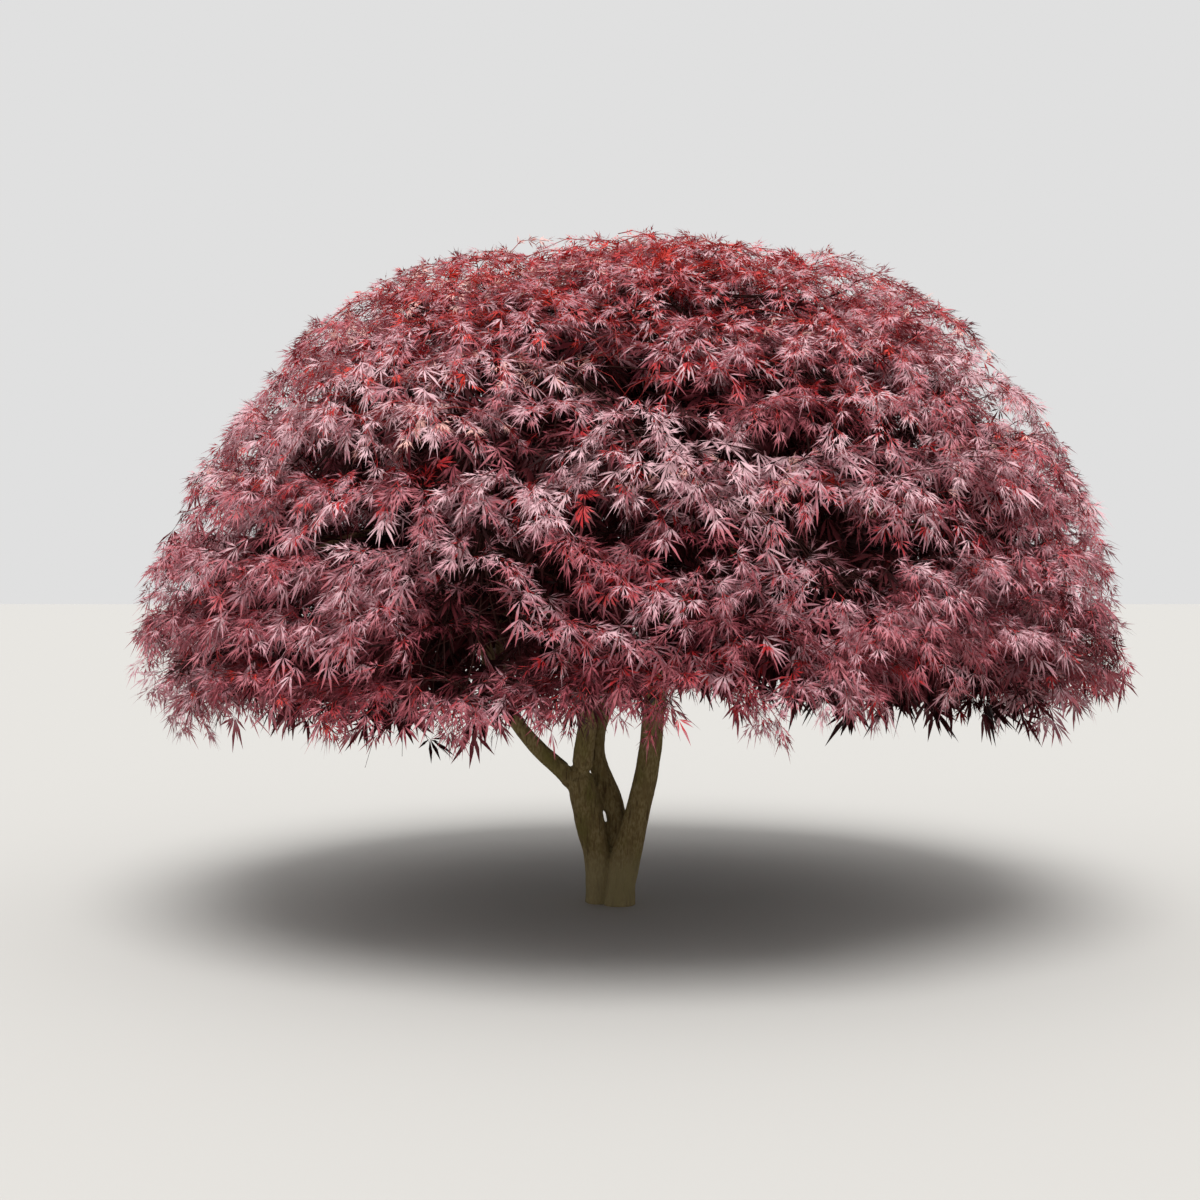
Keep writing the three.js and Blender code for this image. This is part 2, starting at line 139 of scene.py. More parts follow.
def crown_radius(direction):
    """How far the crown's surface is from its centre, in each direction."""
    x, y, z = np.moveaxis(direction, -1, 0)
    side = np.where(x > 0, CROWN["right"], CROWN["left"])
    height = np.where(z > 0, CROWN["up"], CROWN["down"])
    total = (x / side) ** 2 + (y / CROWN["depth"]) ** 2 + (z / height) ** 2
    lean = np.degrees(np.arctan2(x, z))
    swell = sum(by * np.exp(-(((lean - at) / width) ** 2)) for at, width, by in SWELLS)
    return (1 + swell * (1 - y**2)) / np.sqrt(total)


def crown_point(turn, tilt, share):
    """A point in the crown: turned round it, tilted from straight up, a share of the way out."""
    flat = np.sin(tilt)
    parts = np.broadcast_arrays(flat * np.cos(turn), flat * np.sin(turn), np.cos(tilt))
    direction = np.stack(parts, axis=-1)
    return CROWN_CENTRE + direction * (share * crown_radius(direction))[..., None]


def place_of(point):
    """Where points are in the crown: their direction, share of the way out, and turn."""
    arm = point - CROWN_CENTRE
    direction = unit(arm)
    share = np.linalg.norm(arm, axis=-1) / crown_radius(direction)
    return direction, share, np.arctan2(direction[..., 1], direction[..., 0])


def at_share(point, share):
    """Points moved in or out to a share of the way to the crown's surface."""
    direction = unit(point - CROWN_CENTRE)
    return CROWN_CENTRE + direction * (share * crown_radius(direction))[..., None]


def compass(point):
    """Directions on the crown at each point: out of it, across it, and down over it."""
    x, y, z = np.moveaxis(unit(point - CROWN_CENTRE), -1, 0)
    side = np.where(x > 0, CROWN["right"], CROWN["left"])
    height = np.where(z > 0, CROWN["up"], CROWN["down"])
    out = unit(np.stack([x / side**2, y / CROWN["depth"] ** 2, z / height**2], axis=-1))
    across = unit(np.stack([-y, x, 0 * z], axis=-1))
    return out, across, unit(np.cross(across, out))


def skirt_bottom(turn):
    """The height of the lowest tips, round the tree."""
    front = np.maximum(0, -np.sin(turn))
    back = np.maximum(0, np.sin(turn))
    lift = SKIRT["front"] + SKIRT["right"] * np.cos(turn)
    return SKIRT["sides"] + front * lift + back * SKIRT["back"]


# %% The cells
TOP_TILT = 0.01


def cell_of(tier, index):
    width = 2 * math.pi / tier["sectors"]
    whole = tier["sectors"] == 1
    return {
        **tier,
        "name": tier["name"] if whole else tier["name"] + "_" + str(index + 1),
        "tier": tier["name"],
        "turn": math.radians(tier["turn"]) + (index + 0.5) * width,
        "half": width / 2,
        "whole": whole,
        "last": tier is TIERS[-1],
    }


def cell_point(cell, across, down, share):
    """A point in a cell: across is -1 to 1, and down is 0 to 1 from its upper edge."""
    turn = cell["turn"] + cell["half"] * across
    lean = TIER_LEAN * (share - SHELL["edge"])
    top = TOP_TILT if cell["whole"] else math.radians(cell["from"]) + lean
    low = math.radians(cell["to"]) + lean
    if cell["last"]:
        drop = (CROWN_CENTRE[2] - skirt_bottom(turn)) / CROWN["depth"]
        low = math.pi / 2 + np.arcsin(drop)
    return crown_point(turn, top + (low - top) * down, share)


def hub_of(cell):
    return cell_point(cell, 0, 0 if cell["whole"] else SHELL["hub_down"], SHELL["hub"])


cells = [cell_of(tier, i) for tier in TIERS for i in range(tier["sectors"])]
print("cells of foliage:", [cell["name"] for cell in cells])

# %% [markdown]
# ## Chance that repeats
# No two boughs of a tree are alike, so chance belongs in the rule. But the script has to grow
# the same tree each time, and the same one as the solids. This small mixer turns a seed into a
# long run of numbers, the same in any language that counts in 32 bits.

# %% Stream of numbers
WORD = 0xFFFFFFFF
STEP = 0x6D2B79F5


def stream(seed):
    """A repeatable run of numbers from 0 to 1."""
    state = seed & WORD

    def draw():
        nonlocal state
        state = (state + STEP) & WORD
        mixed = ((state ^ (state >> 15)) * (1 | state)) & WORD
        stirred = ((mixed ^ (mixed >> 7)) * (61 | mixed)) & WORD
        mixed = ((mixed + stirred) & WORD) ^ mixed
        return (mixed ^ (mixed >> 14)) / 2**32

    return draw


# %% [markdown]
# ## Stems and boughs as curves
# A stem is a smooth curve through a few points that were read off the tree's best side. It is a
# centripetal curve, which doesn't loop or swing wide where the points come close together. A
# bough starts on its parent, wanders a little, and arches over to the inner side of its cell.

# %% Curves
CURVE_STEPS = 60


def along_curve(points):
    """Many points on a smooth curve through a few."""
    points = np.array(points, float)
    ends = [2 * points[0] - points[1], *points, 2 * points[-1] - points[-2]]
    t = np.linspace(0, 1, CURVE_STEPS, endpoint=False)[:, None]
    pieces = []
    for p0, p1, p2, p3 in zip(ends, ends[1:], ends[2:], ends[3:]):
        d0, d1, d2 = (np.linalg.norm(b - a) ** 0.5 for a, b in ((p0, p1), (p1, p2), (p2, p3)))
        leave = ((p1 - p0) / d0 - (p2 - p0) / (d0 + d1) + (p2 - p1) / d1) * d1
        arrive = ((p2 - p1) / d1 - (p3 - p1) / (d1 + d2) + (p3 - p2) / d2) * d1
        bend = 3 * (p2 - p1) - 2 * leave - arrive
        back = 2 * (p1 - p2) + leave + arrive
        pieces.append(p1 + leave * t + bend * t**2 + back * t**3)
    return np.vstack([*pieces, points[-1:]])


def limb(name, points, root, tip, side=(1, 0, 0), flare=0.0):
    """A limb: a curve, the radius at each end, and how much its foot swells."""
    line = along_curve(points)
    run = np.concatenate([[0], np.cumsum(np.linalg.norm(np.diff(line, axis=0), axis=1))])
    sizes = {"length": run[-1], "root": root, "tip": tip, "flare": flare}
    return {"name": name, "line": line, "run": run, "side": np.array(side, float), **sizes}


def point_at(part, share):
    """Points at shares of a limb's length."""
    where = np.asarray(share) * part["length"]
    return np.stack([np.interp(where, part["run"], axis) for axis in part["line"].T], axis=-1)


FOOT_FADE = 14


def radius_at(part, share):
    taper = part["root"] + (part["tip"] - part["root"]) * share
    return taper * (1 + part["flare"] * np.exp(-FOOT_FADE * share))


# %% Stems
stem_left = limb(
    "stem_left",
    [(-0.038, 0.018, -0.03), (-0.048, 0.016, 0.17), (-0.074, 0.008, 0.31)]
    + [(-0.1, 0, 0.41), (-0.118, -0.006, 0.48)],
    root=0.05, tip=0.056, flare=0.22,
)
stem_right = limb(
    "stem_right",
    [(0.028, -0.022, -0.03), (0.05, -0.02, 0.17), (0.104, -0.014, 0.36)]
    + [(0.146, -0.016, 0.56), (0.168, -0.03, 0.76), (0.204, -0.052, 0.96)],
    root=0.056, tip=0.034, flare=0.2,
)
stem_back = limb(
    "stem_back",
    [(0.014, 0.03, -0.03), (0.03, 0.044, 0.26), (0.01, 0.062, 0.375), (-0.054, 0.082, 0.54)]
    + [(-0.05, 0.098, 0.66), (0.004, 0.122, 0.79), (0.022, 0.15, 1)],
    root=0.044, tip=0.03, flare=0.2,
)
stem_front = limb(
    "stem_front",
    [(-0.112, -0.008, 0.47), (-0.098, -0.03, 0.6), (-0.084, -0.064, 0.75), (-0.118, -0.122, 0.92)],
    root=0.042, tip=0.028,
)
stem_low_left = limb(
    "stem_low_left",
    [(-0.11, -0.006, 0.42), (-0.176, -0.012, 0.5), (-0.272, -0.026, 0.592)]
    + [(-0.376, -0.034, 0.728), (-0.452, -0.012, 0.905)],
    root=0.036, tip=0.023, side=(0, 1, 0),
)
stems = [stem_left, stem_right, stem_back, stem_front, stem_low_left]
print("stem lengths:", {stem["name"]: round(stem["length"], 2) for stem in stems})

# %% Boughs
BOUGHS = {
    "middle": (0.024, 0.012, 0.1, 0.8, 0.2, 0.5),
    "upper": (0.02, 0.011, -0.04, 1, 0, 0.7),
    "skirt": (0.016, 0.01, 0.13, 0.36, 0.1, 0.22),
}
BOUGH_SIZES = ("root", "tip", "lift", "leaves", "next", "crowding")
BOUGHS = {tier: dict(zip(BOUGH_SIZES, row)) for tier, row in BOUGHS.items()}
BOUGH_WANDER = 0.055
BOUGH_COURSE = [(0.22, 0.55), (0.5, 1), (0.78, 0.75)]


def bough_to(cell, parent, leaves_at, size, random):
    """The limb from a parent to a cell's inner side."""
    start = point_at(parent, leaves_at)
    hub = hub_of(cell)
    run = hub - start
    length = np.linalg.norm(run)
    side = unit(np.cross(UP, [run[0], run[1], 0]))
    points = [start]
    for share, rise in BOUGH_COURSE:
        aside = BOUGH_WANDER * length * (2 * random() - 1)
        points.append(start + share * run + rise * size["lift"] * length * UP + aside * side)
    return limb("bough_" + cell["name"], [*points, hub], size["root"], size["tip"], side)


def grow_boughs(tier_names, parents, family, distance, size, random):
    """Each cell's bough, from the parent that suits it best: near, and not crowded yet."""
    grown = []
    for cell in [c for c in cells if c["tier"] in tier_names]:
        costs = [distance(p, cell) + size["crowding"] * len(family[p["name"]]) for p in parents]
        parent = parents[int(np.argmin(costs))]
        place = len(family[parent["name"]])
        leaves_at = min(1, size["leaves"] + size["next"] * place)
        bough = bough_to(cell, parent, leaves_at, size, random)
        family[parent["name"]].append(bough)
        grown.append(bough)
    return grown


def turn_apart(stem, cell):
    """The angle between a stem's tip and a cell, round the tree."""
    x, y, _ = point_at(stem, 1.0)
    apart = math.atan2(y, x) - cell["turn"]
    return abs(math.atan2(math.sin(apart), math.cos(apart)))


def hub_apart(bough, cell):
    """How far a bough's middle is from a cell's hub."""
    return float(np.linalg.norm(point_at(bough, 0.5) - hub_of(cell)))


random = stream(SEED)
crown_stems = [stem_low_left, stem_front, stem_back, stem_right]
family = {stem["name"]: [] for stem in crown_stems}
main = grow_boughs(["middle"], crown_stems, family, turn_apart, BOUGHS["middle"], random)
top_tiers = ["upper", "crown_top"]
high = grow_boughs(top_tiers, crown_stems[1:], family, turn_apart, BOUGHS["upper"], random)
family = {bough["name"]: [] for bough in main}
low = grow_boughs(["skirt"], main, family, hub_apart, BOUGHS["skirt"], random)
boughs = main + high + low
gaps = [np.linalg.norm(np.mean(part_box(b["name"]), axis=0) - b["line"].mean(axis=0)) for b in boughs]
print("boughs:", len(boughs), "furthest middle from its solid's:", round(max(gaps), 3))

# %% [markdown]
# ## Many tubes at once
# A limb is a tube whose radius shrinks on the way. A twig is the same, only finer, and there are
# thousands of them. Curve objects would be slow, so the tubes are worked out as arrays of
# numbers, and a whole mass of twigs becomes one mesh.

# %% Tube and mesh helpers
def tubes(lines, radii, sides, flat):
    """Closed tubes along many lines, as points and triangles. flat sets where each ring begins."""
    count, rings, _ = lines.shape
    along = unit(np.gradient(lines, axis=1))
    start = unit(flat[:, None] - along * np.sum(flat[:, None] * along, axis=-1, keepdims=True))
    other = np.cross(along, start)
    turn = np.linspace(0, 2 * math.pi, sides, endpoint=False)[:, None]
    spokes = start[:, :, None] * np.cos(turn) + other[:, :, None] * np.sin(turn)
    points = lines[:, :, None] + np.asarray(radii)[..., None, None] * spokes
    a = np.arange(sides)
    b = (a + 1) % sides
    band = np.concatenate([np.stack([a, b, b + sides], 1), np.stack([a, b + sides, a + sides], 1)])
    walls = (band + sides * np.arange(rings - 1)[:, None, None]).reshape(-1, 3)
    fan = np.arange(1, sides - 1)
    last = (rings - 1) * sides
    caps = [np.stack([0 * fan, fan + 1, fan], 1), last + np.stack([0 * fan, fan, fan + 1], 1)]
    faces = np.concatenate([walls, *caps])
    faces = faces + rings * sides * np.arange(count)[:, None, None]
    return points.reshape(-1, 3), faces.reshape(-1, 3)


def joined(parts):
    """Several sets of points and triangles as one."""
    starts = np.cumsum([0] + [len(points) for points, _ in parts])
    faces = [triangles + start for (_, triangles), start in zip(parts, starts)]
    return np.concatenate([points for points, _ in parts]), np.concatenate(faces)


def add_piece(name, points, faces, materials, tones=None):
    """A smooth-shaded mesh object that rides on the tree's one body."""
    mesh = bpy.data.meshes.new(name)
    mesh.vertices.add(len(points))
    mesh.vertices.foreach_set("co", points.astype(np.float32).ravel())
    mesh.loops.add(faces.size)
    mesh.loops.foreach_set("vertex_index", faces.astype(np.int32).ravel())
    mesh.polygons.add(len(faces))
    mesh.polygons.foreach_set("loop_start", np.arange(0, faces.size, 3, dtype=np.int32))
    for material in materials:
        mesh.materials.append(material)
    if tones is not None:
        mesh.polygons.foreach_set("material_index", tones.astype(np.int32))
    mesh.update(calc_edges=True)
    mesh.shade_smooth()
    piece = placed(name, mesh)
    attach(piece, "root")
    return piece


# %% [markdown]
# ## Bark colours
# The bark of this tree is nearly smooth: olive brown, with a fine grain that runs up the wood,
# soft blotches of algae, and a paler foot. Both bark materials need the grain and the blotches,
# each at its own scale. So each effect is a node group, a small network that is built once and
# reused. It puts out only masks and heights, and the shader stays in the material.

# %% Node group helpers
def new_group(name, inputs, outputs):
    """An empty shader group with its named sockets."""
    group = bpy.data.node_groups.new(name, "ShaderNodeTree")
    for label, value in inputs.items():
        socket = group.interface.new_socket(label, in_out="INPUT", socket_type="NodeSocketFloat")
        socket.default_value = value
    for label in outputs:
        group.interface.new_socket(label, in_out="OUTPUT", socket_type="NodeSocketFloat")
    return group, group.nodes.new("NodeGroupInput"), group.nodes.new("NodeGroupOutput")


def add_node(tree, kind, settings=None, **links):
    """A node with its settings, and its inputs by name: linked to a socket, or given a value."""
    node = tree.nodes.new(kind)
    for key, value in (settings or {}).items():
        setattr(node, key, value)
    for key, value in links.items():
        name = key.replace("_", " ")
        socket = node.inputs[int(key[1:])] if key[1:].isdigit() else node.inputs[name]
        if isinstance(value, bpy.types.NodeSocket):
            tree.links.new(value, socket)
        else:
            socket.default_value = value
    return node


def stretched_coordinates(tree, squeeze):
    """The object's own coordinates in metres, squeezed upward so that patterns run up the limb."""
    place = tree.nodes.new("ShaderNodeTexCoord").outputs["Object"]
    scale = add_node(tree, "ShaderNodeCombineXYZ", X=1.0, Y=1.0, Z=squeeze)
    multiply = {"operation": "MULTIPLY"}
    node = add_node(tree, "ShaderNodeVectorMath", multiply, i0=place, i1=scale.outputs[0])
    return node.outputs[0]


def noise_at(tree, place, scale, detail, roughness=0.5):
    """Cloudy noise from 0 to 1, at the given coordinates."""
    look = {"Scale": scale, "Detail": detail, "Roughness": roughness}
    return add_node(tree, "ShaderNodeTexNoise", Vector=place, **look).outputs["Fac"]


def steps_between(tree, value, low, high, start=0.0, end=1.0):
    """A soft step: start below the low value, end above the high one."""
    limits = {"From_Min": low, "From_Max": high, "To_Min": start, "To_Max": end}
    soft = {"interpolation_type": "SMOOTHSTEP"}
    return add_node(tree, "ShaderNodeMapRange", soft, Value=value, **limits).outputs["Result"]


# %% Group: upright grain
STREAKS = {"detail": 6.0, "roughness": 0.62}
NO_CRACK_FROM = 0.47
CRACK_HEIGHT = -0.45

knobs = {"Scale": 60.0, "Squeeze": 0.13, "Crack Share": 0.3}
grain, given, made = new_group("upright_grain", knobs, ["Crack", "Height"])
place = stretched_coordinates(grain, given.outputs["Squeeze"])
streaks = noise_at(grain, place, given.outputs["Scale"], **STREAKS)
crack = steps_between(grain, streaks, given.outputs["Crack Share"], NO_CRACK_FROM, 1.0, 0.0)
sunk = {"operation": "MULTIPLY_ADD"}
height = add_node(grain, "ShaderNodeMath", sunk, i0=crack, i1=CRACK_HEIGHT, i2=streaks)
grain.links.new(crack, made.inputs["Crack"])
grain.links.new(height.outputs[0], made.inputs["Height"])

# %% Group: blotches
CLOUDS = {"detail": 5.0, "roughness": 0.62}
FULL_MASK_FROM = 0.72
SPECKS = {"scale": 150.0, "detail": 3.0}
SPECK_LIMITS = (0.36, 0.66)

knobs = {"Scale": 9.0, "Squeeze": 0.5, "Cover": 0.5}
blotches, given, made = new_group("blotches", knobs, ["Mask", "Speckle"])
place = stretched_coordinates(blotches, given.outputs["Squeeze"])
cloud = noise_at(blotches, place, given.outputs["Scale"], **CLOUDS)
minus = {"operation": "SUBTRACT"}
bare = add_node(blotches, "ShaderNodeMath", minus, i0=1.0, i1=given.outputs["Cover"])
mask = steps_between(blotches, cloud, bare.outputs[0], FULL_MASK_FROM)
speckle = steps_between(blotches, noise_at(blotches, place, **SPECKS), *SPECK_LIMITS)
blotches.links.new(mask, made.inputs["Mask"])
blotches.links.new(speckle, made.inputs["Speckle"])
print("groups:", [group.name for group in bpy.data.node_groups])


# %% Bark materials
def tint(red, green, blue):
    """A colour given as it looks on a screen, 0 to 255, turned into light for the shader."""
    shares = np.array([red, green, blue]) / 255
    linear = np.where(shares < 0.04045, shares / 12.92, ((shares + 0.055) / 1.055) ** 2.4)
    return (*linear, 1.0)


def mixed(tree, share, first, second):
    """One colour over another, by a mask."""
    colours = {"i6": first, "i7": second}
    return add_node(tree, "ShaderNodeMix", {"data_type": "RGBA"}, i0=share, **colours).outputs[2]


FOOT = {"height": (0.1, 0.24), "share": 0.55}
WORN = {"Scale": 24.0, "Squeeze": 0.35}
BARK_ROUGHNESS = (0.92, 0.76)
BARK_SHINE = 0.25
BUMP_STRENGTH = 0.7


def bark_material(name, plain, pale, crack, algae, foot, scale, cover, bump):
    """Bark: speckled in two browns, with blotches of algae, dark grain and a paler foot."""
    material, tree, shader = new_material(name)
    lines = add_node(tree, "ShaderNodeGroup", {"node_tree": grain}, Scale=scale)
    film = add_node(tree, "ShaderNodeGroup", {"node_tree": blotches}, Cover=cover)
    worn = add_node(tree, "ShaderNodeGroup", {"node_tree": blotches}, **WORN)
    place = tree.nodes.new("ShaderNodeTexCoord").outputs["Object"]
    upward = add_node(tree, "ShaderNodeSeparateXYZ", Vector=place).outputs["Z"]
    near_ground = steps_between(tree, upward, *FOOT["height"], FOOT["share"], 0.0)
    colour = mixed(tree, worn.outputs["Speckle"], plain, pale)
    colour = mixed(tree, film.outputs["Mask"], colour, algae)
    colour = mixed(tree, worn.outputs["Mask"], colour, plain)
    colour = mixed(tree, lines.outputs["Crack"], colour, crack)
    colour = mixed(tree, near_ground, colour, foot)
    tree.links.new(colour, shader.inputs["Base Color"])
    rough = steps_between(tree, worn.outputs["Mask"], 0.0, 1.0, *BARK_ROUGHNESS)
    tree.links.new(rough, shader.inputs["Roughness"])
    shader.inputs["Specular IOR Level"].default_value = BARK_SHINE
    depth = {"Distance": bump, "Strength": BUMP_STRENGTH}
    relief = add_node(tree, "ShaderNodeBump", Height=lines.outputs["Height"], **depth)
    tree.links.new(relief.outputs["Normal"], shader.inputs["Normal"])
    return material


old_bark = bark_material(
    "old_bark",
    plain=tint(124, 104, 66),
    pale=tint(156, 138, 96),
    crack=tint(92, 72, 44),
    algae=tint(118, 108, 58),
    foot=tint(172, 158, 118),
    scale=62.0,
    cover=0.55,
    bump=0.004,
)
young_bark = bark_material(
    "young_bark",
    plain=tint(96, 72, 50),
    pale=tint(122, 98, 72),
    crack=tint(64, 44, 30),
    algae=tint(84, 80, 46),
    foot=tint(122, 98, 72),
    scale=95.0,
    cover=0.42,
    bump=0.0015,
)

# %% [markdown]
# ## Trunk and stems
# The foot of the tree is three stems that have grown into each other. Overlapping tubes would
# show a hard line where they meet, so a voxel remesh turns them into one skin, and smoothing
# draws it over the crotches. A web and two fillets add the wood that has grown across at the
# forks. Then every point is moved in or out: broad flutes that run up the wood, shallow cracks,
# small lumps, and a deep crease where two stems have grown together.

# %% One skin over the stems
STEM_SIDES = 28
STEM_RINGS = 70
SKIN_VOXEL = 0.0068
SMOOTHING = (0.5, 6)

fork_web = limb(
    "fork_web",
    [(-0.03, 0.045, 0.345), (-0.045, 0.045, 0.39), (-0.058, 0.045, 0.442)],
    root=0.022, tip=0.02,
)
left_fillet = limb(
    "left_fillet",
    [(-0.05, 0.016, 0.17), (-0.09, 0.004, 0.29), (-0.122, -0.004, 0.41), (-0.18, -0.012, 0.505)],
    root=0.045, tip=0.03,
)
right_fillet = limb(
    "right_fillet",
    [(0.044, -0.02, 0.08), (0.087, -0.018, 0.27), (0.126, -0.014, 0.45)],
    root=0.051, tip=0.042,
)
parts = []
for stem in stems + [fork_web, left_fillet, right_fillet]:
    shares = np.linspace(0, 1, STEM_RINGS)
    radii = radius_at(stem, shares)
    parts.append(tubes(point_at(stem, shares)[None], radii[None], STEM_SIDES, stem["side"][None]))
rough_skin = bpy.data.meshes.new("rough_skin")
points, faces = joined(parts)
rough_skin.from_pydata(points.tolist(), [], faces.tolist())
rough = placed("rough_skin", rough_skin)
remesh = rough.modifiers.new("one_skin", "REMESH")
remesh.mode = "VOXEL"
remesh.voxel_size = SKIN_VOXEL
smooth = rough.modifiers.new("grown_over", "SMOOTH")
smooth.factor, smooth.iterations = SMOOTHING
bpy.context.view_layer.update()
skin = bpy.data.meshes.new_from_object(rough.evaluated_get(bpy.context.evaluated_depsgraph_get()))
bpy.data.objects.remove(rough)
print("points in the skin:", len(skin.vertices))

# %% Relief of the bark
FLUTES = {"round": 26.0, "along": 1.6, "depth": 0.0045}
CRACKS = {"round": 80.0, "along": 7.0, "depth": 0.0016}
LUMPS = {"round": 34.0, "along": 22.0, "depth": 0.0014}
CREASE = {"width": 0.008, "depth": 0.011, "reach": 0.02}
CRACK_SHAPE = {"level": 0.35, "sharpness": 5}
SPINE_POINTS = 90
LEAST_WEIGHT = 0.02
LIMB_SHIFT = 7
BLEND = {"stems": 0.008, "boughs": 0.01}


def wave(points, size):
    """Smooth noise from -1 to 1 at points given as two offsets round a limb and one along it."""
    scaled = points * np.array([size["round"], size["round"], size["along"]])
    return np.array([noise.noise(Vector(p)) for p in scaled])


def bark_relief(points, limbs, blend):
    """How far each point of the bark moves out, blended where limbs meet."""
    total = np.zeros(len(points))
    weight = np.zeros(len(points))
    depths = []
    for number, part in enumerate(limbs):
        shares = np.linspace(0, 1, SPINE_POINTS)
        spine = point_at(part, shares)
        apart = np.linalg.norm(points[:, None] - spine[None], axis=2)
        nearest = apart.argmin(axis=1)
        depth = apart.min(axis=1) - radius_at(part, shares[nearest])
        depths.append(depth)
        near = np.exp(-np.maximum(depth, 0) / blend)
        chosen = near > LEAST_WEIGHT
        arm = points[chosen] - spine[nearest[chosen]]
        along = unit(np.gradient(spine, axis=0))[nearest[chosen]]
        first = unit(np.cross(along, np.cross(part["side"], along)))
        second = np.cross(along, first)
        run = shares[nearest[chosen]] * part["length"] + np.sum(arm * along, axis=1)
        run = run + LIMB_SHIFT * number
        local = np.stack([np.sum(arm * first, 1), np.sum(arm * second, 1), run], 1)
        flutes = FLUTES["depth"] * wave(local, FLUTES)
        valley = (1 - np.abs(wave(local, CRACKS))) ** CRACK_SHAPE["sharpness"]
        ridges = CRACKS["depth"] * (CRACK_SHAPE["level"] - valley)
        lumps = LUMPS["depth"] * wave(local, LUMPS)
        total[chosen] += near[chosen] * (flutes + ridges + lumps)
        weight[chosen] += near[chosen]
    moved = total / np.maximum(weight, 1e-6)
    if len(limbs) > 1:
        nearer, further = np.sort(depths, axis=0)[:2]
        meeting = np.exp(-(((further - nearer) / CREASE["width"]) ** 2))
        moved -= CREASE["depth"] * meeting * np.exp(-np.maximum(nearer, 0) / CREASE["reach"])
    return moved


points, normals = np.zeros((2, len(skin.vertices) * 3))
skin.vertices.foreach_get("co", points)
skin.vertices.foreach_get("normal", normals)
points = points.reshape(-1, 3)
points += normals.reshape(-1, 3) * bark_relief(points, stems, BLEND["stems"])[:, None]
skin.vertices.foreach_set("co", points.ravel())

# %% Cut flat at the ground
bark = bmesh.new()
bark.from_mesh(skin)
everything = bark.verts[:] + bark.edges[:] + bark.faces[:]
cut = bmesh.ops.bisect_plane(
    bark, geom=everything, plane_co=(0, 0, 0), plane_no=(0, 0, -1), clear_outer=True
)
rim = [part for part in cut["geom_cut"] if isinstance(part, bmesh.types.BMEdge)]
bmesh.ops.edgeloop_fill(bark, edges=rim)
bmesh.ops.triangulate(bark, faces=bark.faces[:])
bark.to_mesh(skin)
bark.free()
skin.shade_smooth()
skin.materials.append(old_bark)
wood = placed("trunk_and_stems", skin)
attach(wood, "root")
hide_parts("trunk", *[stem["name"] for stem in stems])
print("triangles in the trunk and stems:", len(skin.polygons))

# %% [markdown]
# ## Boughs
# A bough is younger wood: thinner bark, finer relief. It swells in a collar where it leaves its
# parent, and starts inside the parent so that no gap shows. Each stays a piece of its own, as
# its solid is, and the same relief pushes its rings of points in and out.

# %% Boughs with collars
BOUGH_SIDES = 12
BOUGH_RINGS = 40
COLLAR = {"swell": 0.45, "length": 0.035}
BOUGH_RELIEF = 0.6

for bough in boughs:
    shares = np.linspace(0, 1, BOUGH_RINGS)
    swell = 1 + COLLAR["swell"] * np.exp(-shares * bough["length"] / COLLAR["length"])
    radii = radius_at(bough, shares) * swell
    line = point_at(bough, shares)
    points, faces = tubes(line[None], radii[None], BOUGH_SIDES, bough["side"][None])
    spread = points - np.repeat(line, BOUGH_SIDES, axis=0)
    relief = bark_relief(points, [bough], BLEND["boughs"])[:, None]
    points += unit(spread) * BOUGH_RELIEF * relief
    piece = add_piece(bough["name"] + "_bark", points, faces, [young_bark])
    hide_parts(bough["name"])
print("bough pieces:", len(boughs))

# %% [markdown]
# ## Where the sprays are
# A mass of foliage is a set of sprays, one above the next like tiles, with shade under each. In
# the solids one broad leaf stands for a spray. Here each of them becomes a real spray at the
# same place. The rows are shaken a little, because level rows would show as bands.

# %% Sprays of a cell
CORE_DRAWS = 24
PAD = {"share": 0.945, "apart": 0.026, "crest": 0.02, "jitter": 0.24}
PAD |= {"edge": 0.97, "row": 0.46, "middle": 0.05}
SPRAY_YAW = 0.5


def pads_of(cell, random):
    """Where the sprays are: across, down and out in the cell, row by row."""
    rows = cell["rows"]
    found = []
    for row, count in enumerate(rows):
        for i in range(count):
            shake = PAD["jitter"] * (random() - 0.5)
            across = PAD["edge"] * ((2 * (i + 0.5) + shake) / count - 1)
            share = PAD["share"] + PAD["apart"] * ((i + row) % 2 - 0.5)
            if count == 1:
                found.append((across, PAD["middle"], share + PAD["crest"], 1.0))
                continue
            shake = PAD["jitter"] * (random() - 0.5)
            found.append((across, (row + PAD["row"] + shake) / len(rows), share, 1.0 / count))
    return np.array(found)


# %% [markdown]
# ## Twigs that weep
# Each spray is a small umbrella. Its twigs leave one point to all sides, a little upward, and
# each step tips them further towards the ground. On the crown's steep sides only the outer half
# of the umbrella is there: the other half would grow into the tree.

# %% The weeping rule
WEEP = {"leave": 14, "arrive": -36, "vary": 11}


def either_way(rng, most, shape=None):
    """Random numbers from -most to most."""
    return rng.uniform(-most, most, shape)


def weep(start, heading, length, lift, steps, rng):
    """Lines that set off nearly level along their heading and tip over as they go."""
    tilt = np.linspace(WEEP["leave"], WEEP["arrive"], steps) + lift
    tilt = np.radians(tilt + rng.normal(0, WEEP["vary"], (len(start), 1)))[..., None]
    way = heading[:, None] * np.cos(tilt) + UP * np.sin(tilt)
    way = way * (length / steps)[:, None, None]
    return np.concatenate([start[:, None], start[:, None] + np.cumsum(way, axis=1)], axis=1)


def along_lines(lines, share):
    """Points and headings at shares of the way along each line."""
    where = share * (lines.shape[1] - 1)
    low = np.minimum(where.astype(int), lines.shape[1] - 2)
    rows = np.arange(len(lines))[:, None]
    a = lines[rows, low]
    b = lines[rows, low + 1]
    return a + (b - a) * (where - low)[..., None], unit(b - a)


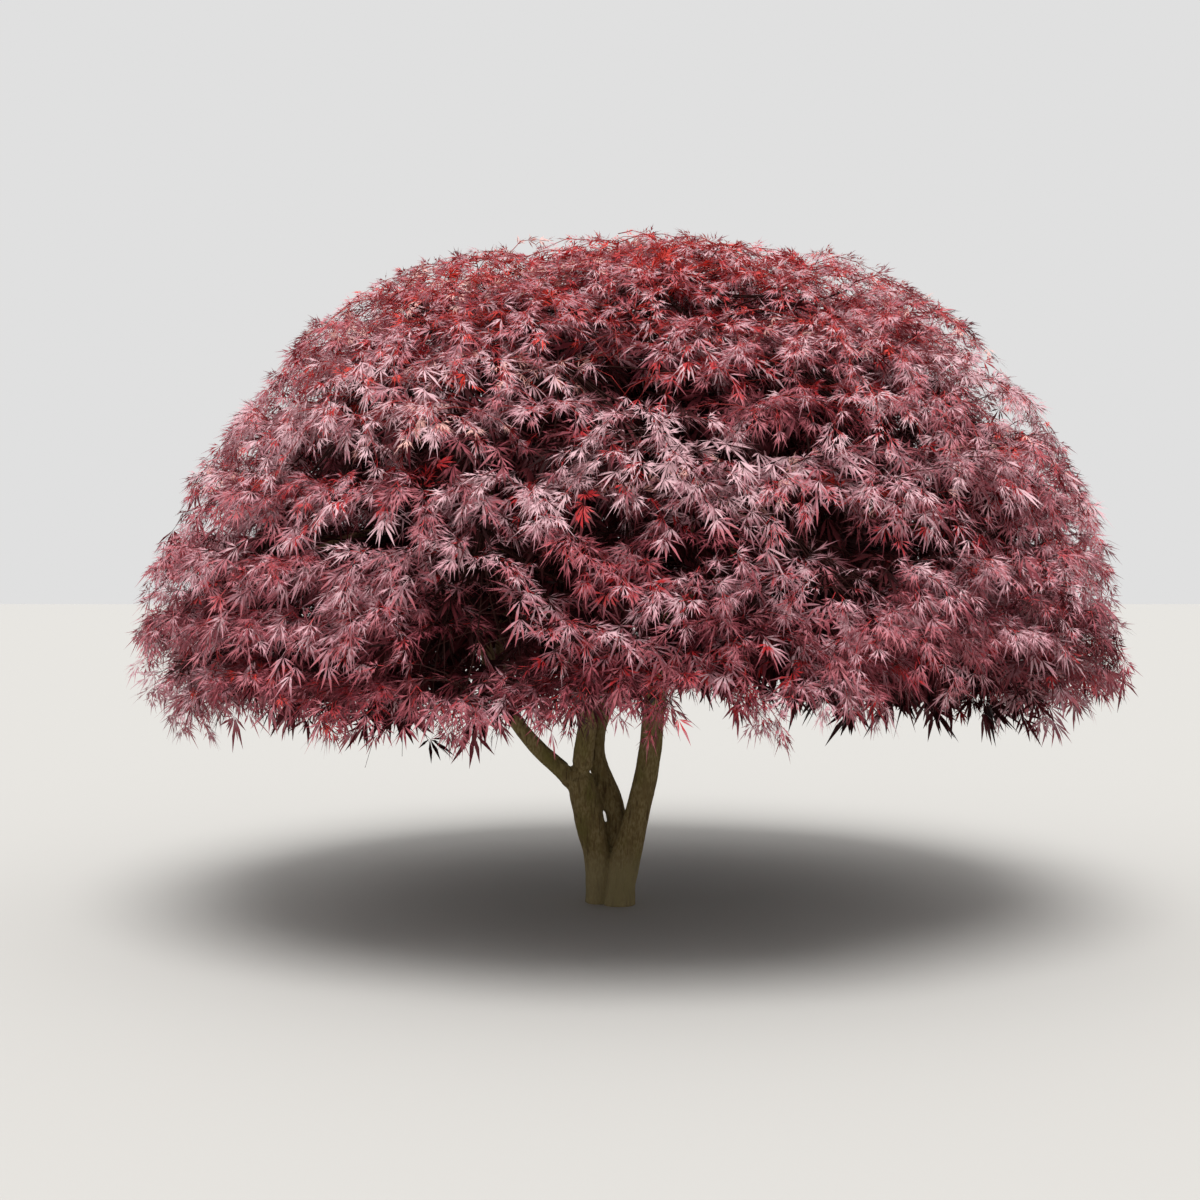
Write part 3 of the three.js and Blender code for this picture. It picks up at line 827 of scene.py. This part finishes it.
# %% [markdown]
# ## Layers of sprays
# One layer of leaves would let the light through. So there are several, each further in: the
# outer sprays, others between them, and darker ones behind, with fewer and larger leaves that
# only stop the light. The darker colours of the layers further in are painted shade. Caps
# thicken the top and the joins between tiers, and shoots stand up out of the crest. The crown's
# lower edge isn't level, so a small function gives its height. A spray that hangs below it is
# lifted, and then flattened if need be.

# %% Kinds of spray
SPRAY_ROWS = {
    "outer": (0.012, 0.36, 7, 4, 8, 0.82, "toothed"),
    "between": (-0.04, 0.32, 7, 3, 4, 0.92, "narrow"),
    "inner": (-0.12, 0.3, 5, 3, 3, 1.2, "slim"),
    "deep": (-0.25, 0.3, 4, 3, 2, 1.55, "broad"),
    "core": (-0.36, 0.3, 4, 2, 2, 1.9, "broad"),
    "cap": (-0.035, 0.26, 7, 3, 4, 1.0, "toothed"),
    "shoot": (-0.01, 0.2, 2, 4, 4, 0.95, "narrow"),
}
SPRAY_SIZES = ("share", "reach", "fan", "steps", "nodes", "size", "leaf")
SPRAYS = {kind: dict(zip(SPRAY_SIZES, row)) for kind, row in SPRAY_ROWS.items()}
SHADED = ("inner", "deep", "core")
SCATTERED = {
    "cap": {"crown_top": 18, "upper": 8, "middle": 2, "skirt": 4},
    "shoot": {"crown_top": 14, "upper": 11, "middle": 2, "skirt": 0},
}
SCATTER_ROWS = {"crown_top": (0, 1), "upper": (0, 1), "middle": (0.8, 1.12), "skirt": (-0.05, 0.9)}
SHOOTS = {"lift": 40, "limit": 1.045, "room": 1.1}
UMBRELLA = {"inset": 0.18, "rise": 0.06, "sink": 0.05, "spread": 60, "round": 120, "vary": 0.28}
LOOSE = {"turn": 0.2, "start": 0.025, "length": (0.72, 1.12)}
TWIG_LIMIT = 0.968
TOP_ROOM = 0.13
TOP_SHARES = (0.45, 1.15)
HEM = {"shake": (0.0, 0.12), "lift": 0.17, "flattest": 0.3}
HEM_RIPPLES = [(7, 0.4, 0.028), (17, 1.3, 0.026), (31, 2.1, 0.018)]
HEM_LIFTS = [(-42, 14, 0.2), (-78, 7, 0.05), (30, 12, 0.07), (118, 14, 0.08), (185, 14, 0.2)]
HEM_LIFTS += [(-110, 24, -0.1)]
BOX_EDGE = 0.008
BOX_LOW = np.array(solid_box[0]) - BOX_EDGE
BOX_HIGH = np.array(solid_box[1]) + BOX_EDGE


def hem_at(turn):
    """The height of the foliage's lower edge: the skirt's, lifted here and there."""
    degrees = np.degrees(turn)
    height = skirt_bottom(turn)
    for at, width, lift in HEM_LIFTS:
        apart = (degrees - at + 180) % 360 - 180
        height = height + lift * np.exp(-((apart / width) ** 2))
    return height + sum(by * np.sin(count * turn + at) for count, at, by in HEM_RIPPLES)


def spray_twigs(kind, middle, yaw, rng):
    """The twigs of some sprays: their lines, and which spray each belongs to."""
    size = SPRAYS[kind]
    out, across, _ = compass(middle)
    level = np.cross(across, UP)
    steep = np.linalg.norm(out[:, :2], axis=1)
    rise = UMBRELLA["rise"] * steep - UMBRELLA["sink"] * (1 - steep)
    base = middle - level * (UMBRELLA["inset"] * steep)[:, None] + UP * rise[:, None]
    base[:, 2] = np.minimum(base[:, 2], BOX_HIGH[2] - TOP_ROOM)
    spread = np.radians(UMBRELLA["spread"] + UMBRELLA["round"] * (1 - steep) ** 0.5)
    fan = np.linspace(-1, 1, size["fan"]) * spread[:, None] + yaw[:, None]
    angle = (fan + either_way(rng, LOOSE["turn"], fan.shape)).ravel()
    owner = np.repeat(np.arange(len(middle)), size["fan"])
    grown = rng.uniform(1 - UMBRELLA["vary"], 1 + UMBRELLA["vary"], len(middle))
    length = size["reach"] * grown[owner] * rng.uniform(*LOOSE["length"], len(angle))
    heading = level[owner] * np.cos(angle)[:, None] + across[owner] * np.sin(angle)[:, None]
    start = base[owner] + out[owner] * either_way(rng, LOOSE["start"], (len(angle), 1))
    shoot = kind == "shoot"
    lines = weep(start, heading, length, SHOOTS["lift"] if shoot else 0, size["steps"], rng)
    _, share, turn = place_of(lines)
    lines = at_share(lines, np.minimum(share, SHOOTS["limit"] if shoot else TWIG_LIMIT))
    headroom = rng.uniform(*TOP_SHARES, (len(lines), 1)) * TOP_ROOM
    lines[..., 2] = np.minimum(lines[..., 2], BOX_HIGH[2] - headroom)
    floor = hem_at(turn[:, -1]) + rng.uniform(*HEM["shake"], len(middle))[owner]
    short = (floor - lines[:, -1, 2]).reshape(len(middle), -1).max(axis=1)
    lift = np.clip(short, 0, HEM["lift"])
    base[:, 2] += lift
    lines[..., 2] += lift[owner][:, None]
    top = lines[:, 0, 2]
    fall = np.maximum(top - lines[:, -1, 2], 1e-3)
    keep = np.clip((top - floor) / fall, HEM["flattest"], 1)[:, None]
    lines[..., 2] = top[:, None] + (lines[..., 2] - top[:, None]) * keep
    return lines, owner, base


# %% [markdown]
# ## One leaf
# The leaf is cut almost to its stalk into long toothed lobes, like a hand with its fingers
# spread. In the outer layer a lobe has a tooth on each side, four triangles in all, and further
# in it is a lance of two. One leaf could be modelled and copied, but no two real leaves hang
# alike. So all leaves of a mass are worked out in one go: angles and lengths vary, each lobe
# bends down towards its point, and a few lines of arithmetic place every corner.

# %% Leaf arithmetic
RIB = [(0.02, 0), (0.5, 0.024), (0.42, -0.024), (1, 0)]
TEETH = [(0.28, 0.012), (0.64, 0.108), (0.22, -0.011), (0.55, -0.106)]
RIB_FACES = [(0, 2, 1), (2, 3, 1)]
TEETH_FACES = [(4, 1, 5), (6, 7, 2)]
LOBES = {
    "toothed": (RIB + TEETH, RIB_FACES + TEETH_FACES),
    "narrow": ([(0.04, 0), (0.42, 0.054), (0.56, -0.054), (1, 0)], RIB_FACES),
    "slim": ([(0.04, 0), (0.42, 0.062), (0.54, -0.06), (1, 0)], RIB_FACES),
    "broad": ([(0.04, 0), (0.42, 0.088), (0.54, -0.082), (1, 0)], RIB_FACES),
}
FINGERS = {-66: 0.68, -33: 0.9, 0: 1.0, 33: 0.9, 66: 0.68}
STALK = {"width": 0.0018, "length": 0.32, "none": 0.04}
STALKLESS = ("narrow", "slim", "broad")
SAG = {"bend": 0.07, "hang": 0.12}
UNEVEN = {"angle": 0.16, "tilt": 0.3, "length": (0.68, 1.16)}
LOBE, HEART, STEM = range(3)


def leaf_mesh(kind, joint, base, axis, normal, size, close, rng):
    """Points and triangles of many leaves, and which triangles are a leaf's heart or stalk."""
    outline, triangles = LOBES[kind]
    along, aside = np.array(outline).T
    count = len(base)
    shape = (count, len(FINGERS))
    angle = np.radians(list(FINGERS)) * close[:, None] + either_way(rng, UNEVEN["angle"], shape)
    length = np.array(list(FINGERS.values())) * rng.uniform(*UNEVEN["length"], shape)
    tilt = either_way(rng, UNEVEN["tilt"], shape)[..., None]
    sine = np.sin(angle)[..., None]
    cosine = np.cos(angle)[..., None]
    far = length[..., None] * along
    wide = np.sqrt(length)[..., None] * aside
    x = far * sine + wide * cosine
    y = far * cosine - wide * sine
    side = np.cross(axis, normal)
    blade = x[..., None] * side[:, None, None] + y[..., None] * axis[:, None, None]
    blade += (far * tilt)[..., None] * normal[:, None, None]
    drop = (SAG["bend"] * normal + SAG["hang"] * UP)[:, None, None]
    blade -= far[..., None] ** 2 * drop
    points = base[:, None, None] + size[:, None, None, None] * blade
    points = points.reshape(count, -1, 3)
    every = np.array(triangles) + len(along) * np.arange(len(FINGERS))[:, None, None]
    faces = every.reshape(-1, 3)
    part = [HEART, *[LOBE] * (len(triangles) - 1)] * len(FINGERS)
    if kind not in STALKLESS:
        edge = side * STALK["width"] / 2
        stalk = np.stack([joint - edge, joint + edge, base + edge, base - edge], axis=1)
        faces = np.concatenate([faces, np.array([[0, 1, 2], [0, 2, 3]]) + points.shape[1]])
        points = np.concatenate([points, stalk], axis=1)
        part += [STEM, STEM]
    faces = faces + points.shape[1] * np.arange(count)[:, None, None]
    return points, faces, np.array(part)


# %% Leaves on twigs
LEAF_HEIGHTS = [0.6, 1.6, 2.1, 2.45]
LEAF_SIZES = [0.102, 0.096, 0.082, 0.07]
GROWN = (0.72, 1.16)
NODES = {"first": 0.17, "last": 0.88, "tip": 0.99, "vary": 0.12, "least": 0.06}
SPLAY = {"side": 0.75, "vary": 0.38}
FACING = {"up": 0.7, "out": 0.5, "vary": 0.6}
SPREAD = (0.68, 1.05)
FOLD = 0.1
DROOP = {"near": 0.1, "far": 0.25}
DROOP_HEIGHTS = (1.7, 2.35)
DROOP_SHARES = (1.0, -0.6)


def leaf_size(height, rng):
    """Leaves are largest low down on the tree and smallest at its top."""
    grown = np.interp(height, LEAF_HEIGHTS, LEAF_SIZES)
    return grown * rng.uniform(*GROWN, np.shape(height))


def leaves_on(lines, nodes, scale, stalk, rng):
    """Where leaves sit: pairs along each twig, and one at its tip. Those further on hang more."""
    share = np.linspace(NODES["first"], NODES["last"], nodes)
    share = np.concatenate([np.repeat(share, 2), [NODES["tip"]]])
    hand = np.concatenate([np.tile([1.0, -1.0], nodes), [0.0]])
    share = share + either_way(rng, NODES["vary"], (len(lines), len(share)))
    share = np.clip(share, NODES["least"], NODES["tip"])
    joint, heading = along_lines(lines, share)
    side = unit(np.cross(heading, UP)) * hand[None, :, None]
    way = heading + side * SPLAY["side"] + either_way(rng, SPLAY["vary"], joint.shape)
    way = unit(way).reshape(-1, 3)
    joint = joint.reshape(-1, 3)
    level = unit(heading * (1, 1, 0)).reshape(-1, 3)
    far = share.reshape(-1, 1)
    size = scale * leaf_size(joint[:, 2], rng)
    base = joint + way * (stalk * size)[:, None]
    hang = DROOP["near"] + DROOP["far"] * far
    hang = hang * np.interp(joint[:, 2:], DROOP_HEIGHTS, DROOP_SHARES)
    axis = unit(way - UP * hang)
    facing = UP * FACING["up"] + level * FACING["out"]
    facing = unit(facing + either_way(rng, FACING["vary"], joint.shape))
    normal = unit(facing - axis * np.sum(facing * axis, axis=1, keepdims=True))
    close = rng.uniform(*SPREAD, len(joint)) - FOLD * far[:, 0]
    return joint, base, axis, normal, size, close


# %% [markdown]
# ## Leaf colours
# The colour changes from spray to spray. The palette is one dark red leaf in lit and shaded
# copies: greyed mauve where old leaves catch the sky, a painted sky reflection dealt to the
# outer and upper sprays; the leaf's own wine and plum, dealt further in and lower down as
# painted shade; near black as painted shade in the deepest layers; and a scatter of new leaves
# that open scarlet. Each colour is a plain material, and the sprays are dealt theirs like cards.
# A pattern painted over such a mass of tiny faces would only blur, and the eye sees the mix from
# a step away.

# %% Leaf materials
# One dark red leaf in lit and shaded copies. Pale mauve and mauve carry a painted reflection of the
# sky, and the near-black dark one is painted shade; crimson, scarlet and cream are the new leaves'
# own colours.
LEAF_TINTS = {
    "leaf_mauve_sky_sheen": (210, 168, 174),
    "leaf_mauve": (178, 122, 131),
    "leaf_rose": (172, 92, 100),
    "leaf_wine": (134, 58, 68),
    "leaf_plum": (86, 32, 37),
    "leaf_dark_shade": (46, 13, 14),
    "leaf_crimson": (182, 38, 42),
    "leaf_scarlet": (212, 54, 42),
    "leaf_cream": (230, 176, 166),
}
LEAF_SHINE = {"leaf_plum": 0.16, "leaf_dark_shade": 0.1}
PLAIN_SHINE = 0.3
LEAF_ROUGHNESS = 0.5


def leaf_material(name, colour, shine=PLAIN_SHINE):
    material, _, shader = new_material(name)
    shader.inputs["Base Color"].default_value = tint(*colour)
    shader.inputs["Roughness"].default_value = LEAF_ROUGHNESS
    shader.inputs["Specular IOR Level"].default_value = shine
    return material


leaf_materials = [
    leaf_material(name, colour, LEAF_SHINE.get(name, PLAIN_SHINE))
    for name, colour in LEAF_TINTS.items()
]
TONES = {name: number for number, name in enumerate(LEAF_TINTS)}
twig_materials = [
    leaf_material("twig_bark", (50, 25, 22), LEAF_SHINE["leaf_dark_shade"]),
    leaf_material("young_twig", (158, 42, 40)),
]

# %% Dealing the colours
# Odds of each spray's colour, palest first, low down and high up. Paler copies go to the outer sprays
# and darker ones to the layers further in: painted sky light and painted shade.
DEALS = {
    "outer": ([0.03, 0.38, 0.32, 0.21, 0.06], [0.34, 0.42, 0.2, 0.04, 0.0]),
    "between": ([0.0, 0.16, 0.3, 0.36, 0.18], [0.16, 0.36, 0.28, 0.14, 0.06]),
    "inner": ([0.0, 0.0, 0.0, 0.2, 0.8], [0.0, 0.0, 0.1, 0.5, 0.4]),
    "deep": ([0.0, 0.0, 0.0, 0.0, 1.0], [0.0, 0.0, 0.0, 0.1, 0.9]),
    "core": ([0.0, 0.0, 0.0, 0.0, 1.0], [0.0, 0.0, 0.0, 0.0, 1.0]),
    "cap": ([0.0, 0.2, 0.3, 0.34, 0.16], [0.1, 0.3, 0.32, 0.2, 0.08]),
    "shoot": ([0.0, 0.1, 0.3, 0.3, 0.3], [0.0, 0.1, 0.3, 0.3, 0.3]),
}
# Higher sprays are dealt paler colours: painted sky light on the top of the crown, and painted shade
# lower down.
DEAL_HEIGHT = {"from": 0.95, "over": 0.85}
YOUNG_HEIGHT = {"from": 0.9, "over": 1.3, "power": 2.6}
TONE_STEPS = {-1: 0.16, 0: 0.6, 1: 0.24}
FRESH = {"sprays": (0.05, 0.88), "crest": (0.42, 0.66), "fringe": (0.08, 0.3)}
FRESH_SIZE = 0.7
FRESH_TONES = {"leaf_crimson": 0.38, "leaf_scarlet": 0.42, "leaf_cream": 0.2}
RED_HEARTS = {"sprays": (0.34, 0.85), "leaves": (0.45, 0.7)}
RED_TWIGS_FROM = 1.75


def deal_tones(kind, middle, owner, leaves, rng):
    """A colour for each leaf: its spray's own, paler out and up as painted sky light and darker in
    and down as painted shade, with some a step lighter, darker, or fresh red.
    """

    def for_leaves(values):
        return np.repeat(values[owner], leaves)

    high = np.clip((middle[:, 2] - DEAL_HEIGHT["from"]) / DEAL_HEIGHT["over"], 0, 1)[:, None]
    below, above = np.array(DEALS[kind])
    odds = below * (1 - high) + above * high
    spray = (rng.random((len(middle), 1)) > np.cumsum(odds, axis=1)).sum(axis=1)
    tone = for_leaves(np.minimum(spray, TONES["leaf_plum"]))
    # Leaves of the shaded layers keep their dark tone, or go a step darker at random: painted shade.
    if kind in SHADED:
        tone = tone + rng.integers(0, 2, len(tone))
        return tone, tone, np.zeros(len(tone), bool)
    step = rng.choice(list(TONE_STEPS), len(tone), p=list(TONE_STEPS.values()))
    tone = np.clip(tone + step, 0, TONES["leaf_dark_shade"])
    young = np.clip((middle[:, 2] - YOUNG_HEIGHT["from"]) / YOUNG_HEIGHT["over"], 0, 1)
    young = young ** YOUNG_HEIGHT["power"]
    sprays, crest, fringe = (low + (top - low) * young for low, top in FRESH.values())
    budding = rng.random(len(middle)) < sprays
    near_crest = np.tile(np.arange(leaves) < 2, len(owner))
    chance = np.where(near_crest, for_leaves(crest), for_leaves(fringe))
    fresh = for_leaves(budding) & (rng.random(len(tone)) < chance)
    if kind == "shoot":
        fresh[:] = True
    names = [TONES[name] for name in FRESH_TONES]
    red = for_leaves(rng.choice(names, len(middle), p=list(FRESH_TONES.values())))
    sprays, some = (low + (top - low) * young for low, top in RED_HEARTS.values())
    red_hearted = for_leaves(rng.random(len(middle)) < sprays)
    red_hearted &= rng.random(len(tone)) < for_leaves(some)
    heart = np.where(red_hearted, TONES["leaf_crimson"], np.maximum(tone - 1, 0))
    return np.where(fresh, red, tone), np.where(fresh, red, heart), fresh


# %% [markdown]
# ## Growing the masses
# Each mass starts where its bough ends. A short stem runs on to a crotch, thin carriers curve
# from the crotch to every spray, and the sprays carry the leaves. Leaves that would stand out of
# the crown, or hang lower than its edge, are skipped. A few dark hollows on the best side are
# kept open: the outer layers are left out there, and the deep ones show, whose plum and near
# black colours are painted shade. The deep layers end a little higher on that side, so that they
# don't hang out under the crown.

# %% Where the middles of the sprays go
FILL = {
    "outer": (0.0, 0.0, 0.2, 1.14),
    "between": (1.0, 0.5, 0.5, 1.14),
    "inner": (0.6, 0.22, 0.3, 1.05),
    "deep": (0.3, 0.6, 0.3, 1.0),
    "core": (0.8, 0.3, 0.3, 1.0),
}
ROW_SHIFT = 0.3
FILL_ROWS = (0.02, 0.93)
HOLLOWS = [((-0.46, -1.55, 1.12), 0.23), ((0.73, -1.5, 1.35), 0.19), ((0.02, -1.2, 1.97), 0.16)]
HOLLOW_SPRAYS = 0.7
HOLLOW_LEAVES = (0.8, 1.1)


def in_hollow(points, share):
    """Which points are in a hollow, within a share of its reach."""
    places, reaches = (np.array(values)[:, None] for values in zip(*HOLLOWS))
    return (np.linalg.norm(points - places, axis=2) < reaches * share).any(axis=0)


def middles_of(cell, pads, kind, rng):
    """The middle of each spray. Those in between sit half a step aside and half a row down."""
    if kind in SCATTERED:
        count = SCATTERED[kind][cell["tier"]]
        share = PAD["share"] + SPRAYS[kind]["share"]
        low, high = SCATTER_ROWS[cell["tier"]]
        return cell_point(cell, either_way(rng, 1, count), rng.uniform(low, high, count), share)
    aside, lower, jitter, lowest = FILL[kind]
    across = pads[:, 0] + aside * pads[:, 3]
    loose = cell["shift"] + either_way(rng, jitter, len(pads))
    down = np.maximum(pads[:, 1] + (lower + loose) / len(cell["rows"]), FILL_ROWS[0])
    if cell["last"]:
        down = np.minimum(down, FILL_ROWS[1])
    keep = down < lowest
    share = pads[:, 2] + SPRAYS[kind]["share"]
    where = zip(across[keep], down[keep], share[keep])
    return np.array([cell_point(cell, a, d, s) for a, d, s in where])


# %% Leaves of a spray
LEAF_ROOM = {"share": 1.012, "below": 0.06}
HELD_UP = {"inner": 0.07, "deep": 0.11, "core": 0.13}


def grow_leaves(kind, middle, owner, lines, rng):
    """The leaves on some twigs, and their colours, without those that reach out too far."""
    size = SPRAYS[kind]
    stalk = STALK["none"] if size["leaf"] in STALKLESS else STALK["length"]
    leaves = leaves_on(lines, size["nodes"], size["size"], stalk, rng)
    joint, base, axis, normal, long, close = leaves
    tone, heart, fresh = deal_tones(kind, middle, owner, 2 * size["nodes"] + 1, rng)
    long = np.where(fresh, FRESH_SIZE * long, long)
    points, faces, part = leaf_mesh(size["leaf"], joint, base, axis, normal, long, close, rng)
    _, share, turn = place_of(points)
    held = HELD_UP.get(kind, 0) * np.clip(-np.sin(turn), 0, 1) ** 0.5
    low = points[..., 2] < hem_at(turn) - LEAF_ROOM["below"] + held
    inside = (points > BOX_LOW) & (points < BOX_HIGH)
    room = SHOOTS["room"] if kind == "shoot" else LEAF_ROOM["share"]
    stay = (share.max(axis=1) < room) & inside.all(axis=(1, 2)) & ~low.any(axis=1)
    if kind not in ("deep", "core"):
        stay &= ~in_hollow(base, rng.uniform(*HOLLOW_LEAVES, (len(HOLLOWS), len(base))))
    points = points[stay]
    choice = np.stack([tone, heart, np.full(len(tone), TONES["leaf_crimson"])])
    tones = choice[part[None], np.arange(len(tone))[stay][:, None]].ravel()
    return (points.reshape(-1, 3), faces[: len(points)].reshape(-1, 3)), tones


# %% Masses of foliage
MASS_STEM = {"reach": 0.09, "inside": 0.01, "radii": (0.011, 0.01, 0.009, 0.007), "sides": 6}
FORK = {"from": 0.6, "depth": 0.848, "wander": 0.04}
TWIG = {"root": 0.0042, "tip": 0.0021, "end": 0.0007}
CARRIER = {"steps": 5, "sides": 4}
TWIG_SIDES = 3
YAW_VARY = 0.4
CELL_SEEDS = 101


def curve_through(a, b, c, steps):
    """Lines from a to c that bend past b."""
    t = np.linspace(0, 1, steps + 1)[None, :, None]
    return (1 - t) ** 2 * a[:, None] + 2 * t * (1 - t) * b[:, None] + t**2 * c[:, None]


def twig_tubes(lines, heading, root, tip, sides):
    """Twigs along some lines, each with the same taper."""
    taper = np.linspace(TWIG[root], TWIG[tip], lines.shape[1])
    flat = unit(np.cross(heading, UP) + 1e-6)
    return tubes(lines, np.repeat(taper[None], len(lines), axis=0), sides, flat)


def grow_mass(cell, number):
    """The twigs and leaves of one cell, and the colours of both."""
    random = stream(SEED + CELL_SEEDS * (number + 1))
    rng = np.random.default_rng(SEED + number)
    for _ in range(CORE_DRAWS):
        random()
    pads = pads_of(cell, random)
    yaws = np.array([SPRAY_YAW * (random() - 0.5) for _ in pads])
    hub = hub_of(cell)
    out, across, _ = compass(hub)
    cell["shift"] = 0.0 if cell["whole"] else either_way(rng, ROW_SHIFT)
    crotch = hub + out * MASS_STEM["reach"] * CROWN["depth"]
    radii = np.array([MASS_STEM["radii"]])
    stem = np.linspace(hub - out * MASS_STEM["inside"], crotch, radii.size)[None]
    twigs = [tubes(stem, radii, MASS_STEM["sides"], across[None])]
    young = [np.zeros(len(twigs[0][1]), int)]
    blades = []
    tones = []
    for kind in SPRAYS:
        if kind in SCATTERED and not SCATTERED[kind][cell["tier"]]:
            continue
        middle = middles_of(cell, pads, kind, rng)
        if kind not in SHADED:
            middle = middle[~in_hollow(middle, HOLLOW_SPRAYS)]
        count = len(middle)
        if not count:
            continue
        yaw = yaws[:count] if kind == "outer" else either_way(rng, YAW_VARY, count)
        lines, owner, base = spray_twigs(kind, middle, yaw, rng)
        fork = at_share(crotch + (middle - crotch) * FORK["from"], np.full(count, FORK["depth"]))
        fork += rng.normal(0, FORK["wander"], fork.shape)
        carriers = curve_through(crotch[None], fork, base, CARRIER["steps"])
        twigs.append(twig_tubes(carriers, base - crotch, "root", "tip", CARRIER["sides"]))
        young.append(np.zeros(len(twigs[-1][1]), int))
        twigs.append(twig_tubes(lines, lines[:, 1] - lines[:, 0], "tip", "end", TWIG_SIDES))
        red = (lines[:, 0, 2] > RED_TWIGS_FROM) & (kind not in SHADED)
        young.append(np.repeat(red.astype(int), len(twigs[-1][1]) // len(lines)))
        leaves, shades = grow_leaves(kind, middle, owner, lines, rng)
        blades.append(leaves)
        tones.append(shades)
    return joined(twigs), np.concatenate(young), joined(blades), np.concatenate(tones)


total = 0
for number, cell in enumerate(cells):
    twigs, young, blades, tones = grow_mass(cell, number)
    piece = add_piece("twigs_" + cell["name"], *twigs, twig_materials, young)
    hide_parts("foliage_" + cell["name"])
    piece = add_piece("leaves_" + cell["name"], *blades, leaf_materials, tones)
    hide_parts("foliage_" + cell["name"])
    total += len(twigs[1]) + len(blades[1])
print("triangles in the foliage:", total)

# %% [markdown]
# ## Floor and light
# The portrait is a studio one. A wide pale floor runs to the horizon, a pale sky stands in for
# the walls, and a large soft light overhead catches the crests of the sprays and leaves the
# hollows under them dark.

# %% Floor
FLOOR_SIDE = 60.0
FLOOR_ROUGHNESS = 0.9

floor_mesh = bpy.data.meshes.new("floor")
half = FLOOR_SIDE / 2
corners = [(-half, -half, 0), (half, -half, 0), (half, half, 0), (-half, half, 0)]
floor_mesh.from_pydata(corners, [], [(0, 1, 2, 3)])
floor = placed("floor", floor_mesh)
floor_material, _, floor_shader = new_material("pale_floor")
floor_shader.inputs["Base Color"].default_value = tint(184, 182, 178)
floor_shader.inputs["Roughness"].default_value = FLOOR_ROUGHNESS
floor_mesh.materials.append(floor_material)

# %% Lights
SKY = {"seen": 0.745, "horizon": 0.2, "zenith": 1.2}
SUN = {"from": (0.1, -2.9, 6.8), "spread": 40, "power": 2.75}

world = bpy.data.worlds.new("studio")
scene.world = world
world.use_nodes = True
tree = world.node_tree
sky = tree.nodes["Background"]
sky.inputs["Color"].default_value = tint(255, 255, 255)
facing = tree.nodes.new("ShaderNodeTexCoord")
split = add_node(tree, "ShaderNodeSeparateXYZ", Vector=facing.outputs["Generated"])
limits = {"To_Min": SKY["horizon"], "To_Max": SKY["zenith"]}
glow = add_node(tree, "ShaderNodeMapRange", Value=split.outputs["Z"], **limits)
ray = tree.nodes.new("ShaderNodeLightPath").outputs["Is Camera Ray"]
shares = {"i0": ray, "i2": glow.outputs["Result"], "i3": SKY["seen"]}
strength = add_node(tree, "ShaderNodeMix", {"data_type": "FLOAT"}, **shares)
tree.links.new(strength.outputs[0], sky.inputs["Strength"])

lamp = bpy.data.lights.new("sun", "SUN")
lamp.angle = math.radians(SUN["spread"])
lamp.energy = SUN["power"]
sun = placed("sun", lamp)
sun.location = SUN["from"]
sun.rotation_euler = (-sun.location).to_track_quat("-Z", "Y").to_euler()
scene.view_settings.view_transform = "Standard"
